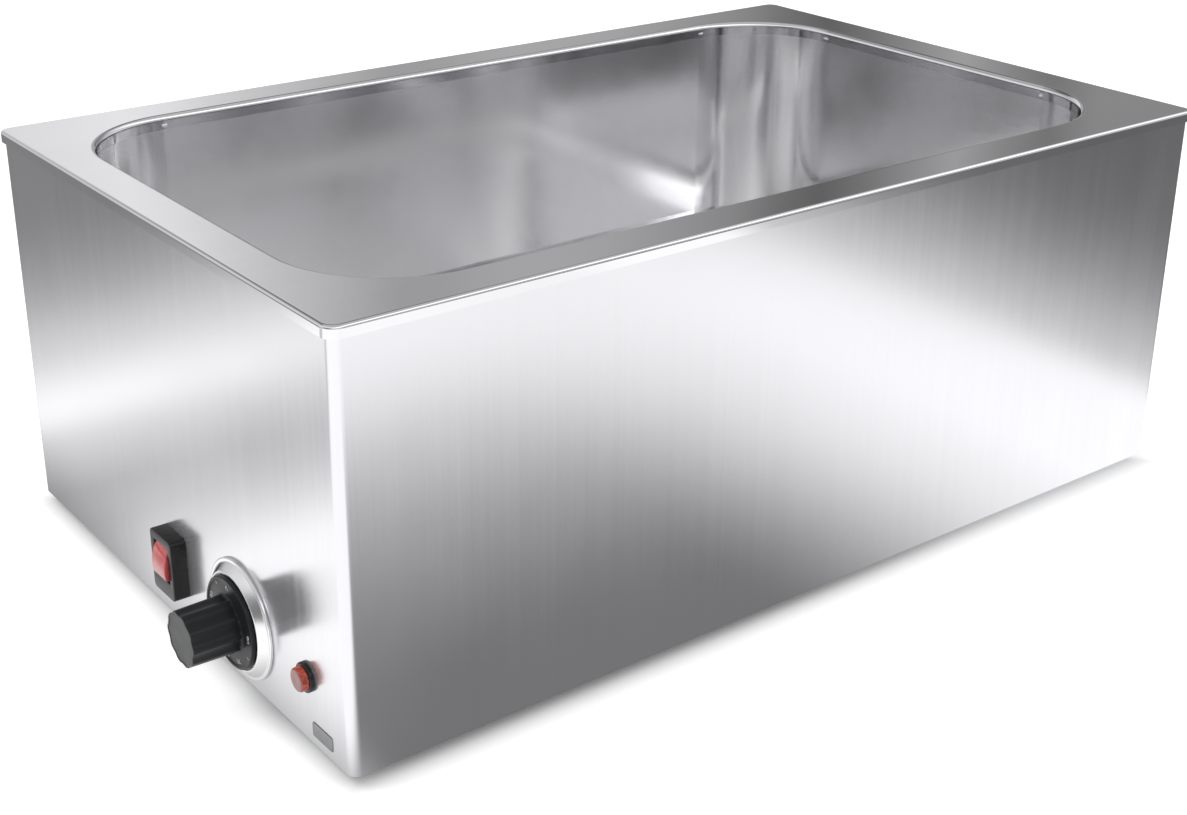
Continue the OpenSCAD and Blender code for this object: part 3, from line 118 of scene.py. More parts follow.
class NodeBench:
    """Short ways to place and join nodes in one tree."""

    def __init__(self, tree: bpy.types.NodeTree) -> None:
        """Take the tree that the nodes go into."""
        self.tree = tree

    def feed(self, target: Socket, value: object) -> None:
        """Link an input socket, or give it a value.

        Args:
            target: The input socket.
            value: An output socket, a number, a vector or a colour.
        """
        if isinstance(value, Socket):
            self.tree.links.new(value, target)
        else:
            target.default_value = (*value, 1.0) if target.type == "RGBA" else value

    def fill(self, node: bpy.types.Node, values: dict[str, object]) -> None:
        """Set a node's attributes and feed its inputs.

        Args:
            node: The node.
            values: What each attribute or input gets, an input's spaces as underscores.
        """
        for key, value in values.items():
            if hasattr(node, key):
                setattr(node, key, value)
            else:
                self.feed(node.inputs[key.replace("_", " ")], value)

    def add(self, kind: str, *feeds: object, **values: object) -> bpy.types.Node:
        """Place a node.

        Args:
            kind: Blender's name of the shader node type, without "ShaderNode".
            *feeds: What its first inputs get, in order.
            **values: Its attributes and other inputs, as fill takes them.

        Returns:
            The new node.
        """
        node = self.tree.nodes.new("ShaderNode" + kind)
        self.fill(node, values)
        for target, value in zip(node.inputs, feeds):
            self.feed(target, value)
        return node

    def math(self, operation: str, *values: object) -> Socket:
        """Place a math node on sockets or numbers and return its result."""
        return self.add("Math", *values, operation=operation).outputs[0]

    def total(self, base: float, *parts: tuple[Socket, float]) -> Socket:
        """Add shares of sockets to a number.

        Args:
            base: The number.
            *parts: Pairs of a socket and its share.

        Returns:
            The sum's socket.
        """
        result: object = base
        for value, share in parts:
            result = self.math("MULTIPLY_ADD", value, share, result)
        return result

    def spread(self, value: Socket, low: float, high: float, start: object = 0.0,
               end: object = 1.0, ease: Ease = Ease.SMOOTH) -> Socket:
        """Map a value so that start gives low and end gives high, and return the result."""
        return self.add("MapRange", value, start, end, low, high,
                        interpolation_type=ease.value).outputs["Result"]

    def mix(self, factor: Socket, first: object, second: object, colours: bool = False) -> Socket:
        """Mix two numbers or two colours.

        Args:
            factor: The factor's socket.
            first: What a factor of 0 gives, a socket or a value.
            second: What a factor of 1 gives, a socket or a value.
            colours: Whether the two are colours.

        Returns:
            The result's socket.
        """
        node = self.add("Mix", factor, data_type="RGBA" if colours else "FLOAT")
        for index, value in zip((6, 7) if colours else (2, 3), (first, second)):
            self.feed(node.inputs[index], value)
        return node.outputs[2 if colours else 0]

    def ramp(self, value: Socket, stops: Stops) -> Socket:
        """Map a value through grey stops.

        Args:
            value: The socket to map, from 0 to 1.
            stops: Pairs of a place from 0 to 1 and a grey, in order.

        Returns:
            The grey's socket.
        """
        node = self.add("ValToRGB", value)
        elements = node.color_ramp.elements
        elements.remove(elements[1])
        for index, (place, grey) in enumerate(stops):
            stop = elements.new(place) if index else elements[0]
            stop.position, stop.color = place, (grey, grey, grey, 1.0)
        return node.outputs[0]

    def point(self, system: str = "Object") -> Socket:
        """Place a Texture Coordinate node and return one of its outputs."""
        return self.add("TexCoord").outputs[system]

    def axes(self, system: str = "Object") -> bpy.types.NodeOutputs:
        """Split a point into its sockets X, Y and Z."""
        return self.add("SeparateXYZ", self.point(system)).outputs

    def mirrored(self, path: bpy.types.NodeOutputs) -> Socket:
        """Mark the rays that metal mirrors or clear plastic lets through."""
        return self.math("ADD", path["Is Glossy Ray"], path["Is Transmission Ray"])


class GroupBench(NodeBench):
    """A new shader node group, with patterns on the object's coordinates times its Scale."""

    def __init__(self, kind: Group, inputs: dict[str, float], outputs: tuple[str, ...]) -> None:
        """Start a group.

        Args:
            kind: Which group it is.
            inputs: Its float inputs and their defaults, besides the Scale vector.
            outputs: Names of its float outputs.
        """
        super().__init__(bpy.data.node_groups.new(kind.value, "ShaderNodeTree"))
        new_socket = self.tree.interface.new_socket
        vector = new_socket("Scale", in_out="INPUT", socket_type="NodeSocketVector")
        vector.default_value = WHITE
        for name, default in inputs.items():
            socket = new_socket(name, in_out="INPUT", socket_type="NodeSocketFloat")
            socket.default_value = default
        for name in outputs:
            new_socket(name, in_out="OUTPUT", socket_type="NodeSocketFloat")
        self.entry = self.tree.nodes.new("NodeGroupInput").outputs
        self.out = self.tree.nodes.new("NodeGroupOutput").inputs
        self.vector = self.add(
            "VectorMath", self.point(), self.entry["Scale"], operation="MULTIPLY").outputs[0]

    def noise(self, **values: float) -> Socket:
        """Place a noise with these inputs on the group's coordinates."""
        return self.add("TexNoise", Vector=self.vector, **values).outputs[0]


def build_brushing() -> bpy.types.NodeTree:
    """Build the brushing group: fine and broad lines along one axis.

    Returns:
        The group, with the output Lines.
    """
    bench = GroupBench(Group.BRUSHING, {}, ("Lines",))
    fine = bench.noise(Scale=1.0, Detail=2.0, Roughness=0.7)
    broad = bench.noise(Scale=0.16, Detail=3.0, Roughness=0.6)
    bench.feed(bench.out["Lines"], bench.total(0.0, (fine, 0.45), (broad, 0.55)))
    return bench.tree


def build_clouding() -> bpy.types.NodeTree:
    """Build the clouding group: wide soft patches, as wiping leaves on steel.

    Returns:
        The group, with the output Cloud.
    """
    bench = GroupBench(Group.CLOUDING, {"Low": 0.3, "High": 0.7}, ("Cloud",))
    wide = bench.noise(Scale=1.0, Detail=4.0, Roughness=0.55, Distortion=0.4)
    cloud = bench.spread(wide, 0.0, 1.0, bench.entry["Low"], bench.entry["High"])
    bench.feed(bench.out["Cloud"], cloud)
    return bench.tree


def build_speckle() -> bpy.types.NodeTree:
    """Build the speckle group: the fine even texture of a moulding, and scattered dust.

    Returns:
        The group, with the outputs Height and Dust.
    """
    bench = GroupBench(Group.SPECKLE, {"Sparse": 0.7}, ("Height", "Dust"))
    pits = bench.add("TexVoronoi", Vector=bench.vector, Scale=1.0).outputs["Distance"]
    specks = bench.noise(Scale=0.35, Detail=5.0, Roughness=0.7)
    bench.feed(bench.out["Height"], bench.spread(pits, 0.0, 1.0, 0.0, 0.7))
    above = bench.math("SUBTRACT", specks, bench.entry["Sparse"])
    bench.feed(bench.out["Dust"], bench.spread(above, 0.0, 1.0, 0.0, 0.1))
    return bench.tree


BUILDERS: dict[Group, Callable[[], bpy.types.NodeTree]] = {
    Group.BRUSHING: build_brushing,
    Group.CLOUDING: build_clouding,
    Group.SPECKLE: build_speckle,
}


class MaterialBench(NodeBench):
    """A new material with its Principled shader and the shared groups at hand."""

    def __init__(self, name: str) -> None:
        """Start a material with nothing but a Principled shader.

        Args:
            name: The material's name.
        """
        self.material = bpy.data.materials.new(name)
        self.material.use_nodes = True
        super().__init__(self.material.node_tree)
        self.shader = self.tree.nodes["Principled BSDF"]

    def set(self, **values: object) -> None:
        """Feed the shader's own sockets, with spaces as underscores."""
        self.fill(self.shader, values)

    def group(self, kind: Group, scale: Triple, **values: float) -> bpy.types.NodeOutputs:
        """Place a shared group with its scale per metre, and return its outputs."""
        tree = bpy.data.node_groups.get(kind.value) or BUILDERS[kind]()
        return self.add("Group", node_tree=tree, Scale=scale, **values).outputs

    def bump(self, height: Socket, strength: float, depth: float) -> None:
        """Drive the shader's normal with a bump of that strength and depth in metres."""
        node = self.add("Bump", Height=height, Strength=strength, Distance=depth)
        self.set(Normal=node.outputs["Normal"])

    def shade(self, factor: Socket, first: Colour, second: Colour) -> None:
        """Drive the shader's base colour between two colours."""
        self.set(Base_Color=self.mix(factor, first, second, colours=True))


def scaled(colour: Colour, factor: float) -> Colour:
    """Multiply a colour by a factor."""
    return tuple(channel * factor for channel in colour)


@dataclass(frozen=True)
class Finish:
    """A finish with its material's name and main colour."""

    name: str
    colour: Colour

    def make(self) -> bpy.types.Material:
        """Build the material.

        Returns:
            The new material.
        """
        bench = MaterialBench(self.name)
        self.lay(bench)
        return bench.material

    def lay(self, bench: MaterialBench) -> None:
        """Place the nodes of this kind of finish in a new material."""
        raise NotImplementedError


@dataclass(frozen=True)
class BrushedSteel(Finish):
    """Stainless steel sheet with a brushed grain and faint clouding."""

    roughness: float
    grain: Grain
    grain_depth: float = 0.5
    anisotropy: float = 0.0
    contrast: float = 0.06
    cloud_scale: float = 9.0
    line_shares: Pair = (0.75, 0.10)
    cloud_shares: Pair = (0.25, 0.05)
    # Painted light: round the controls the steel is made less metallic and smoother, which lightens
    # the knob's dark mirrored shade on the panel
    painted_light_at: Triple | None = None
    painted_light_reach: Pair = (0.04, 0.12)
    painted_light_roughness: float = -0.06
    painted_light_metal: float = 0.80

    def lay(self, bench: MaterialBench) -> None:
        """Brush and cloud the steel, with each pattern's share of its tone and roughness.

        Args:
            bench: The material's nodes.
        """
        lines = bench.group(Group.BRUSHING, self.grain.value)["Lines"]
        cloud = bench.group(Group.CLOUDING, (self.cloud_scale,) * 3)["Cloud"]
        tone, rough = (((lines, line), (cloud, patch))
                       for line, patch in zip(self.line_shares, self.cloud_shares))
        bench.shade(bench.total(0.0, *tone), scaled(self.colour, 1.0 - self.contrast),
                    scaled(self.colour, 1.0 + self.contrast))
        bench.set(Metallic=1.0, Anisotropic=self.anisotropy)
        # Painted light: less metal round the controls lightens the knob's mirrored shade on the
        # panel
        if self.painted_light_at:
            painted_light_mask = self.painted_light_zone(bench)
            rough += ((painted_light_mask, self.painted_light_roughness),)
            bench.set(Metallic=bench.spread(painted_light_mask, 1.0, self.painted_light_metal, ease=Ease.EVEN))
        usual = (self.line_shares[1] + self.cloud_shares[1]) / 2
        bench.set(Roughness=bench.total(self.roughness - usual, *rough))
        bench.bump(lines, self.grain_depth, GRAIN_BUMP)
        if self.anisotropy:
            tangent = bench.add("Tangent", direction_type="RADIAL", axis="Z")
            bench.set(Tangent=tangent.outputs[0])

    def painted_light_zone(self, bench: MaterialBench) -> Socket:
        """Mask the steel round the controls, where it is made smoother and less metallic to paint
        light over the knob's mirrored shade.

        Args:
            bench: The material's nodes.

        Returns:
            The mask's socket, 1 at the controls and 0 away from them.
        """
        away = bench.add(
            "VectorMath", bench.point(), self.painted_light_at, operation="DISTANCE").outputs["Value"]
        return bench.spread(away, 1.0, 0.0, *self.painted_light_reach)


@dataclass(frozen=True)
class SmoothMetal(Finish):
    """Metal with no grain: chrome, zinc plating, brass, copper or rolled aluminium."""

    roughness: float
    stain: Colour = (0.5, 0.5, 0.5)
    stain_amount: float = 0.15
    spot: float = 60.0
    cloud_roughness: float = 0.06
    unevenness: float = 0.15

    def lay(self, bench: MaterialBench) -> None:
        """Stain the metal in soft patches.

        Args:
            bench: The material's nodes.
        """
        cloud = bench.group(Group.CLOUDING, (self.spot,) * 3, Low=0.35, High=0.8)["Cloud"]
        bench.shade(bench.math("MULTIPLY", cloud, self.stain_amount), self.colour, self.stain)
        bench.set(
            Metallic=1.0, Roughness=bench.total(self.roughness, (cloud, self.cloud_roughness)))
        bench.bump(cloud, self.unevenness, STAIN_BUMP)


@dataclass(frozen=True)
class Moulding(Finish):
    """Moulded plastic or rubber: an even fine texture with a little dust."""

    roughness: float
    texture: float = 2200.0
    depth: float = 0.25
    dust: float = 0.12
    dust_colour: Colour = (0.35, 0.35, 0.34)
    coat: float = 0.0
    coat_roughness: float = 0.15
    specular: float = 0.5
    cloud_scale: float = 80.0
    cloud_roughness: float = 0.08

    def lay(self, bench: MaterialBench) -> None:
        """Texture and dust the moulding.

        Args:
            bench: The material's nodes.
        """
        speckle = bench.group(Group.SPECKLE, (self.texture,) * 3)
        cloud = bench.group(Group.CLOUDING, (self.cloud_scale,) * 3)["Cloud"]
        dusty = bench.math("MULTIPLY", speckle["Dust"], self.dust)
        bench.shade(dusty, self.colour, self.dust_colour)
        bench.set(Coat_Weight=self.coat, Coat_Roughness=self.coat_roughness,
                  Specular_IOR_Level=self.specular,
                  Roughness=bench.total(self.roughness, (cloud, self.cloud_roughness)))
        bench.bump(speckle["Height"], self.depth, TEXTURE_BUMP)


@dataclass(frozen=True)
class LitPlastic(Finish):
    """Translucent coloured plastic that glows a little, and may have a paler end."""

    deep: Colour
    roughness: float = 0.12
    glow: float = 0.15
    coat: float = 0.6
    coat_roughness: float = 0.08
    cloud_scale: float = 260.0
    scatter: float = 0.25
    scatter_reach: Triple = (0.004, 0.001, 0.001)
    end_colour: Colour | None = None
    end_level: float = 0.0
    end_depth: float = 0.0007

    def lay(self, bench: MaterialBench) -> None:
        """Tint the plastic in patches, and its end if it has a colour of its own.

        Args:
            bench: The material's nodes.
        """
        scale = (self.cloud_scale,) * 3
        cloud = bench.group(Group.CLOUDING, scale, Low=0.25, High=0.75)["Cloud"]
        tint = bench.mix(cloud, self.deep, self.colour, colours=True)
        if self.end_colour:
            at_end = bench.spread(
                bench.axes()["Y"], 1.0, 0.0, self.end_level, self.end_level + self.end_depth)
            tint = bench.mix(at_end, tint, self.end_colour, colours=True)
        bench.set(
            Base_Color=tint, Emission_Color=tint, Emission_Strength=self.glow,
            Coat_Weight=self.coat, Coat_Roughness=self.coat_roughness, Roughness=self.roughness,
            Subsurface_Weight=self.scatter, Subsurface_Radius=self.scatter_reach)


DECK_STEEL = BrushedSteel(
    "deck_steel", (0.76, 0.758, 0.780), 0.08, Grain.LENGTHWISE, grain_depth=0.07)
# The body's steel has painted light round the controls, which lightens the knob's mirrored shade
BODY_STEEL = BrushedSteel("body_steel", (0.757, 0.755, 0.780), 0.22, Grain.UPRIGHT,
                          grain_depth=0.15, anisotropy=0.45, painted_light_at=(0.075, -0.276, 0.045))
WELL_STEEL = BrushedSteel(
    "well_steel", (0.87, 0.867, 0.879), 0.15, Grain.SATIN, grain_depth=0.03, contrast=0.03)
PLAIN_STEEL = BrushedSteel(
    "plain_steel", (0.55, 0.56, 0.57), 0.36, Grain.LENGTHWISE, grain_depth=0.2)
CHROME = SmoothMetal("chrome", (0.80, 0.80, 0.81), 0.20, stain_amount=0.05)
ZINC = SmoothMetal("zinc", (0.58, 0.60, 0.62), 0.28, (0.42, 0.43, 0.40), 0.4, 300.0)
BRASS = SmoothMetal("brass", (0.72, 0.52, 0.22), 0.22, (0.45, 0.30, 0.12), 0.35, 250.0)
COPPER = SmoothMetal("copper", (0.78, 0.42, 0.27), 0.25, (0.35, 0.18, 0.12), 0.4, 120.0)
ALLOY = SmoothMetal("alloy", (0.72, 0.73, 0.74), 0.35, (0.5, 0.5, 0.5), 0.4, 40.0)
SHEATH = SmoothMetal("heated_sheath", (0.30, 0.27, 0.25), 0.42, (0.12, 0.10, 0.16), 0.7, 30.0)
BADGE = SmoothMetal("badge_metal", (0.33, 0.335, 0.34), 0.26, (0.22, 0.22, 0.23), 0.4, 260.0)
KNOB_BLACK = Moulding(
    "knob_black", (0.013, 0.014, 0.016), 0.32, coat=0.1, coat_roughness=0.3, specular=0.2)
GLOSS_BLACK = Moulding(
    "gloss_black", (0.009, 0.009, 0.010), 0.24, depth=0.08, coat=0.08, specular=0.3)
GLAND_BLACK = Moulding("gland_black", (0.020, 0.020, 0.021), 0.45, texture=1500.0)
RUBBER = Moulding(
    "foot_rubber", (0.018, 0.018, 0.018), 0.72, texture=1300.0, depth=0.5, dust=0.35)
DIAL_WHITE = Moulding("dial_white", (0.62, 0.62, 0.60), 0.5, texture=900.0)
IVORY = Moulding("ivory_plastic", (0.66, 0.60, 0.46), 0.45)
BAKELITE = Moulding("bakelite", (0.06, 0.035, 0.02), 0.35)
BOARD = Moulding("fibre_board", (0.62, 0.55, 0.40), 0.85, texture=700.0, depth=0.9, dust=0.5)
SLEEVE_BROWN = Moulding("sleeve_brown", (0.16, 0.06, 0.025), 0.5)
SLEEVE_BLUE = Moulding("sleeve_blue", (0.03, 0.10, 0.36), 0.5)
SLEEVE_RED = Moulding("sleeve_red", (0.42, 0.04, 0.03), 0.6)
SLEEVE_GREEN = Moulding("sleeve_green", (0.22, 0.38, 0.05), 0.5)
ROCKER_RED = LitPlastic(
    "rocker_red", (0.58, 0.048, 0.050), (0.40, 0.026, 0.028), roughness=0.22, glow=0.03, coat=1.0)
LENS_RED = LitPlastic("lens_red", (0.62, 0.075, 0.022), (0.20, 0.010, 0.006), roughness=0.14,
                      glow=0.12, coat=0.45, end_colour=(0.20, 0.055, 0.050), end_level=-0.2821)

NODE_FINISHES: dict[Finish, tuple[str, ...]] = {
    DECK_STEEL: ("deck",),
    BODY_STEEL: ("body_wrap", "rear_panel"),
    WELL_STEEL: ("well",),
    PLAIN_STEEL: ("base_plate", "element_clamps", "heat_shield", "cutout_bracket", "bulb_clips",
                  "thermostat_shaft"),
    ZINC: ("foot_fasteners", "base_screws", "rear_screws", "thermostat_screws", "well_studs",
           "heater_nuts", "earth_lug"),
    CHROME: ("thermostat_bezel",),
    BRASS: ("knob_spring", "thermostat_terminals", "switch_terminals", "pilot_terminals",
            "element_terminals", "cutout_terminals", "block_terminals", "earth_stud",
            "earth_nut"),
    COPPER: ("capillary_tube", "sensor_bulb"),
    ALLOY: ("diffuser_plate",),
    SHEATH: ("heating_element",),
    BADGE: ("badge_plate",),
    KNOB_BLACK: ("control_knob",),
    GLOSS_BLACK: ("switch_housing", "pilot_collar"),
    GLAND_BLACK: ("gland_body", "gland_cap", "gland_locknut", "pilot_nut"),
    RUBBER: ("foot_front_left", "foot_front_right", "foot_rear_left", "foot_rear_right",
             "gland_seal"),
    IVORY: ("thermostat_body", "pilot_body", "terminal_block"),
    BAKELITE: ("thermal_cutout",),
    BOARD: ("insulation_board",),
    SLEEVE_BROWN: ("lead_supply_live", "lead_switch_live", "lead_thermostat_cutout",
                   "lead_lamp_live"),
    SLEEVE_BLUE: ("lead_supply_neutral", "lead_heater_neutral", "lead_lamp_neutral"),
    SLEEVE_RED: ("lead_cutout_heater",),
    SLEEVE_GREEN: ("lead_earth",),
    ROCKER_RED: ("switch_rocker",),
    LENS_RED: ("pilot_lens",),
}


def panel_place(across: float, height: float = CONTROL_HEIGHT) -> Matrix:
    """Give the matrix that sets a form in millimetres on the front panel, its Z outwards."""
    spot = Matrix.Translation(Vector((across, PANEL_FRONT, height)) * MM)
    return spot @ Matrix.Rotation(math.pi / 2, 4, "X") @ Matrix.Scale(MM, 4)


def lathe(profile: Profile, closed: bool = False, steps: int = 96) -> Form:
    """Turn a profile about Z.

    Args:
        profile: Corners as radius, height and the length that rounding takes off each side.
        closed: Whether the last corner joins the first.
        steps: Faces round the turn.

    Returns:
        The turned form.
    """
    form = bmesh.new()
    corners = [form.verts.new((radius, 0.0, height)) for radius, height, _ in profile]
    for first, second in zip(corners, corners[1:] + corners[:1] if closed else corners[1:]):
        form.edges.new((first, second))
    for corner, (_, _, rounding) in zip(corners, profile):
        if rounding:
            bmesh.ops.bevel(form, geom=[corner], offset=rounding, offset_type="OFFSET",
                            segments=CORNER_STEPS, profile=0.5, affect="VERTICES", material=-1)
    bmesh.ops.spin(
        form, geom=form.verts[:] + form.edges[:], cent=(0.0, 0.0, 0.0), axis=(0.0, 0.0, 1.0),
        dvec=(0.0, 0.0, 0.0), angle=math.tau, steps=steps, use_merge=True, use_duplicate=False)
    bmesh.ops.remove_doubles(form, verts=form.verts[:], dist=TOUCHING)
    bmesh.ops.recalc_face_normals(form, faces=form.faces[:])
    return form


def round_edges(form: Form, edges: list[bmesh.types.BMEdge], width: float, segments: int) -> None:
    """Bevel these edges to a round of that width."""
    bmesh.ops.bevel(form, geom=edges, offset=width, offset_type="OFFSET", segments=segments,
                    profile=0.5, affect="EDGES", clamp_overlap=True, material=-1)


def block(size: Triple, corner: float, segments: int) -> Form:
    """Make a box that stands on the origin, with round upright edges.

    Args:
        size: Its width, height and depth along X, Y and Z.
        corner: Width of the rounding.
        segments: Faces in each rounding.

    Returns:
        The box.
    """
    form = bmesh.new()
    bmesh.ops.create_cube(form, size=1.0)
    bmesh.ops.scale(form, vec=size, verts=form.verts[:])
    bmesh.ops.translate(form, vec=(0.0, 0.0, size[2] / 2), verts=form.verts[:])
    upright = [
        edge for edge in form.edges if abs(edge.verts[0].co.z - edge.verts[1].co.z) > LEVEL]
    round_edges(form, upright, corner, segments)
    return form


def faces_at(form: Form, height: float) -> list[Face]:
    """List the flat faces at that height, the smallest first."""
    level = [face for face in form.faces if all(abs(v.co.z - height) < LEVEL for v in face.verts)]
    return sorted(level, key=lambda face: face.calc_area())


def middle_face_at(form: Form, height: float) -> Face:
    """Find the smallest flat face at that height whose middle is on the Z axis."""
    level = faces_at(form, height)
    return next(face for face in level if face.calc_center_median().xy.length < 10 * LEVEL)


def push_out(form: Form, faces: list[Face], move: Triple) -> None:
    """Extrude faces, move the new ones, and delete the old ones that now lie inside.

    Args:
        form: The form.
        faces: Faces to extrude.
        move: How far the new ones go.
    """
    made = bmesh.ops.extrude_face_region(form, geom=faces)["geom"]
    fresh = [item for item in made if isinstance(item, bmesh.types.BMVert)]
    bmesh.ops.translate(form, vec=move, verts=fresh)
    inside = [face for face in faces if any(len(edge.link_faces) > 2 for edge in face.edges)]
    bmesh.ops.delete(form, geom=inside, context="FACES")


def mesh_of(form: Form, name: str) -> bpy.types.Mesh:
    """Turn a form into a mesh.

    Args:
        form: The form, which is used up.
        name: The mesh's name.

    Returns:
        The mesh.
    """
    data = bpy.data.meshes.new(name)
    form.to_mesh(data)
    form.free()
    return data


def take_in(form: Form, data: bpy.types.Mesh) -> None:
    """Join a mesh to a form and remove the mesh."""
    form.from_mesh(data)
    bpy.data.meshes.remove(data)


def add_object(name: str, data: bpy.types.ID) -> bpy.types.Object:
    """Make an object of that data in the scene.

    Args:
        name: The object's name.
        data: Its mesh, lamp or camera.

    Returns:
        The object.
    """
    item = bpy.data.objects.new(name, data)
    bpy.context.scene.collection.objects.link(item)
    return item


class Workshop:
    """Gives frame nodes their finishes, and makes forms into pieces that ride on the frame."""

    def __init__(self, nodes: dict[str, bpy.types.Object]) -> None:
        """Keep the frame's nodes and start an empty store of materials."""
        self.nodes = nodes
        self.made: dict[str, bpy.types.Material] = {}

    def material(self, finish: Finish) -> bpy.types.Material:
        """Give a finish's material, which is built once.

        Args:
            finish: The finish.

        Returns:
            The material.
        """
        if finish.name not in self.made:
            self.made[finish.name] = finish.make()
        return self.made[finish.name]

    def dress(self, finish: Finish, names: tuple[str, ...]) -> None:
        """Give frame nodes a finish.

        Args:
            finish: The finish.
            names: Nodes of the frame.
        """
        for name in names:
            data = self.nodes[name].data
            data.materials.clear()
            data.materials.append(self.material(finish))
            LOG.info("%s: %s", name, finish.name)

    def deliver(self, form: Form, name: str, body: str, finish: Finish, slot: str,
                place: Matrix, replaces: tuple[str, ...] = (), sharp: float = 32.0) -> None:
        """Make a piece out of a form.

        Args:
            form: The form, which is used up.
            name: The piece's name.
            body: The CAD body that it rides on.
            finish: Its finish.
            slot: The record's material slot; not used.
            place: Matrix from the form's own millimetres to the scene.
            replaces: CAD nodes that it stands for.
            sharp: Angle in degrees from which an edge stays sharp.
        """
        bmesh.ops.transform(form, matrix=place, verts=form.verts[:])
        data = mesh_of(form, name)
        creases = [edge.index for edge in data.edges if edge.use_edge_sharp]
        data.shade_smooth()
        data.set_sharp_from_angle(angle=math.radians(sharp))
        for index in creases:
            data.edges[index].use_edge_sharp = True
        data.materials.append(self.material(finish))
        piece = add_object(name, data)
        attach(piece, body)
        if replaces:
            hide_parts(*replaces)
        LOG.info("%s: %d faces, %s", name, len(data.polygons), finish.name)


@dataclass
class ControlKnob:
    """Black knob: a flat skirt with dial numbers, and a fluted grip."""

    shop: Workshop
    across: float = 77.0
    lift: float = 4.4
    skirt_radius: float = 23.6
    skirt_depth: float = 3.0
    skirt_steps: int = 144
    rim_width: float = 1.6
    rim_slope: float = 0.5
    rim_drop: float = 0.7
    face_gap: float = 0.6
    hub_step: float = 0.9
    bore_radius: float = 3.05
    bore_depth: float = 16.6
    grip_radius: float = 14.8
    grip_end_radius: float = 14.2
    grip_length: float = 25.0
    grip_sunk: float = 0.3
    plain_to: float = 0.4
    fluted_from: float = 1.0
    flutes: int = 10
    flute_radius: float = 8.0
    flute_depth: float = 0.8
    crest_softness: float = 0.15
    facets: int = 24
    end_rounding: float = 0.45
    end_border: float = 0.7
    end_step: Pair = (0.25, -0.2)
    numbers: tuple[str, ...] = ("0", "30", "50", "70", "90")
    number_size: float = 4.6
    number_radius: float = 18.5
    number_depth: float = 0.02
    number_lift: float = 0.03
    tick_radius: float = 20.2
    tick_size: Triple = (2.2, 0.5, 0.1)
    first_angle: float = 90.0
    sweep: float = 270.0

    def build(self) -> None:
        """Build the knob and its dial."""
        place = panel_place(self.across) @ Matrix.Translation((0.0, 0.0, self.lift))
        self.shop.deliver(self.body(), "fluted_knob", "knob", KNOB_BLACK, "black_plastic", place,
                          ("control_knob",))
        self.shop.deliver(self.dial(), "dial_numbers", "knob", DIAL_WHITE, "ivory_plastic", place)

    def body(self) -> Form:
        """Make the skirt, its bore and the grip.

        Returns:
            The form, with its back at Z = 0.
        """
        face, outer, hub = self.skirt_depth, self.skirt_radius, self.skirt_depth + self.hub_step
        groove = outer - self.rim_width
        form = lathe((
            (0.0, self.bore_depth, 0.0), (self.bore_radius, self.bore_depth, 0.0),
            (self.bore_radius, 0.0, 0.2), (outer, 0.0, 0.4), (outer, face, 0.8),
            (groove, face, 0.25), (groove - self.rim_slope, face - self.rim_drop, 0.3),
            (self.grip_radius + self.face_gap, face, 0.4),
            (self.grip_radius - self.hub_step, hub, 0.3), (0.0, hub, 0.0),
        ), steps=self.skirt_steps)
        take_in(form, mesh_of(self.grip(), "grip_part"))
        return form

    def grip(self) -> Form:
        """Make the tapered grip with its flutes.

        Returns:
            The grip, from just inside the skirt's face to its end.
        """
        level, end = self.skirt_depth - self.grip_sunk, self.skirt_depth + self.grip_length
        form = bmesh.new()
        bmesh.ops.create_circle(
            form, cap_ends=True, segments=self.flutes * self.facets, radius=1.0)
        bmesh.ops.translate(form, vec=(0.0, 0.0, level), verts=form.verts[:])
        rings = (self.skirt_depth + self.plain_to, self.skirt_depth + self.fluted_from)
        for height in (*rings, end):
            push_out(form, faces_at(form, level)[-1:], (0.0, 0.0, height - level))
            level = height
        for ring, edge in product(rings, form.edges):
            if all(abs(vert.co.z - ring) < LEVEL for vert in edge.verts):
                edge.smooth = False
        for vert in form.verts:
            share = (vert.co.z - self.skirt_depth) / self.grip_length
            radius = self.grip_radius
            radius += (self.grip_end_radius - self.grip_radius) * max(share, 0.0)
            if vert.co.z > rings[0] + LEVEL:
                radius = self.fluted(math.atan2(vert.co.y, vert.co.x), radius)
            vert.co.xy = vert.co.xy.normalized() * radius
        bmesh.ops.recalc_face_normals(form, faces=form.faces[:])
        round_edges(form, list(faces_at(form, end)[-1].edges), self.end_rounding, 3)
        for width, rise in ((self.end_border, 0.0), self.end_step):
            top = faces_at(form, end)[-1:]
            bmesh.ops.inset_region(form, faces=top, thickness=width, depth=rise)
        return form

    def fluted(self, angle: float, plain: float) -> float:
        """Work out the grip's radius where a flute may cut it.

        Args:
            angle: Angle round the grip, in radians.
            plain: Radius without flutes.

        Returns:
            The radius, softened at the crests.
        """
        pitch = math.tau / self.flutes
        off = (angle % pitch) - pitch / 2
        middle = self.grip_end_radius + self.flute_radius - self.flute_depth
        reach = self.flute_radius ** 2 - (middle * math.sin(off)) ** 2
        if reach <= 0.0:
            return plain
        groove = middle * math.cos(off) - math.sqrt(reach)
        soft = self.crest_softness
        return -soft * math.log(math.exp(-plain / soft) + math.exp(-groove / soft))

    def dial(self) -> Form:
        """Make the numbers and ticks that are printed on the skirt.

        Returns:
            The printing, as thin raised shapes.
        """
        form = bmesh.new()
        step = self.sweep / (len(self.numbers) - 1)
        for index, number in enumerate(self.numbers):
            angle = math.radians(self.first_angle + index * step)
            self.add_number(form, number, angle)
            if index:
                self.add_tick(form, angle - math.radians(step / 2))
        return form

    def skirt_face(self, radius: float) -> float:
        """Work out how high the skirt's sloping face is.

        Args:
            radius: How far out.

        Returns:
            The face's height there.
        """
        outer = self.skirt_radius - self.rim_width - self.rim_slope
        share = (outer - radius) / (outer - self.grip_radius - self.face_gap)
        return self.skirt_depth - self.rim_drop * (1.0 - share)

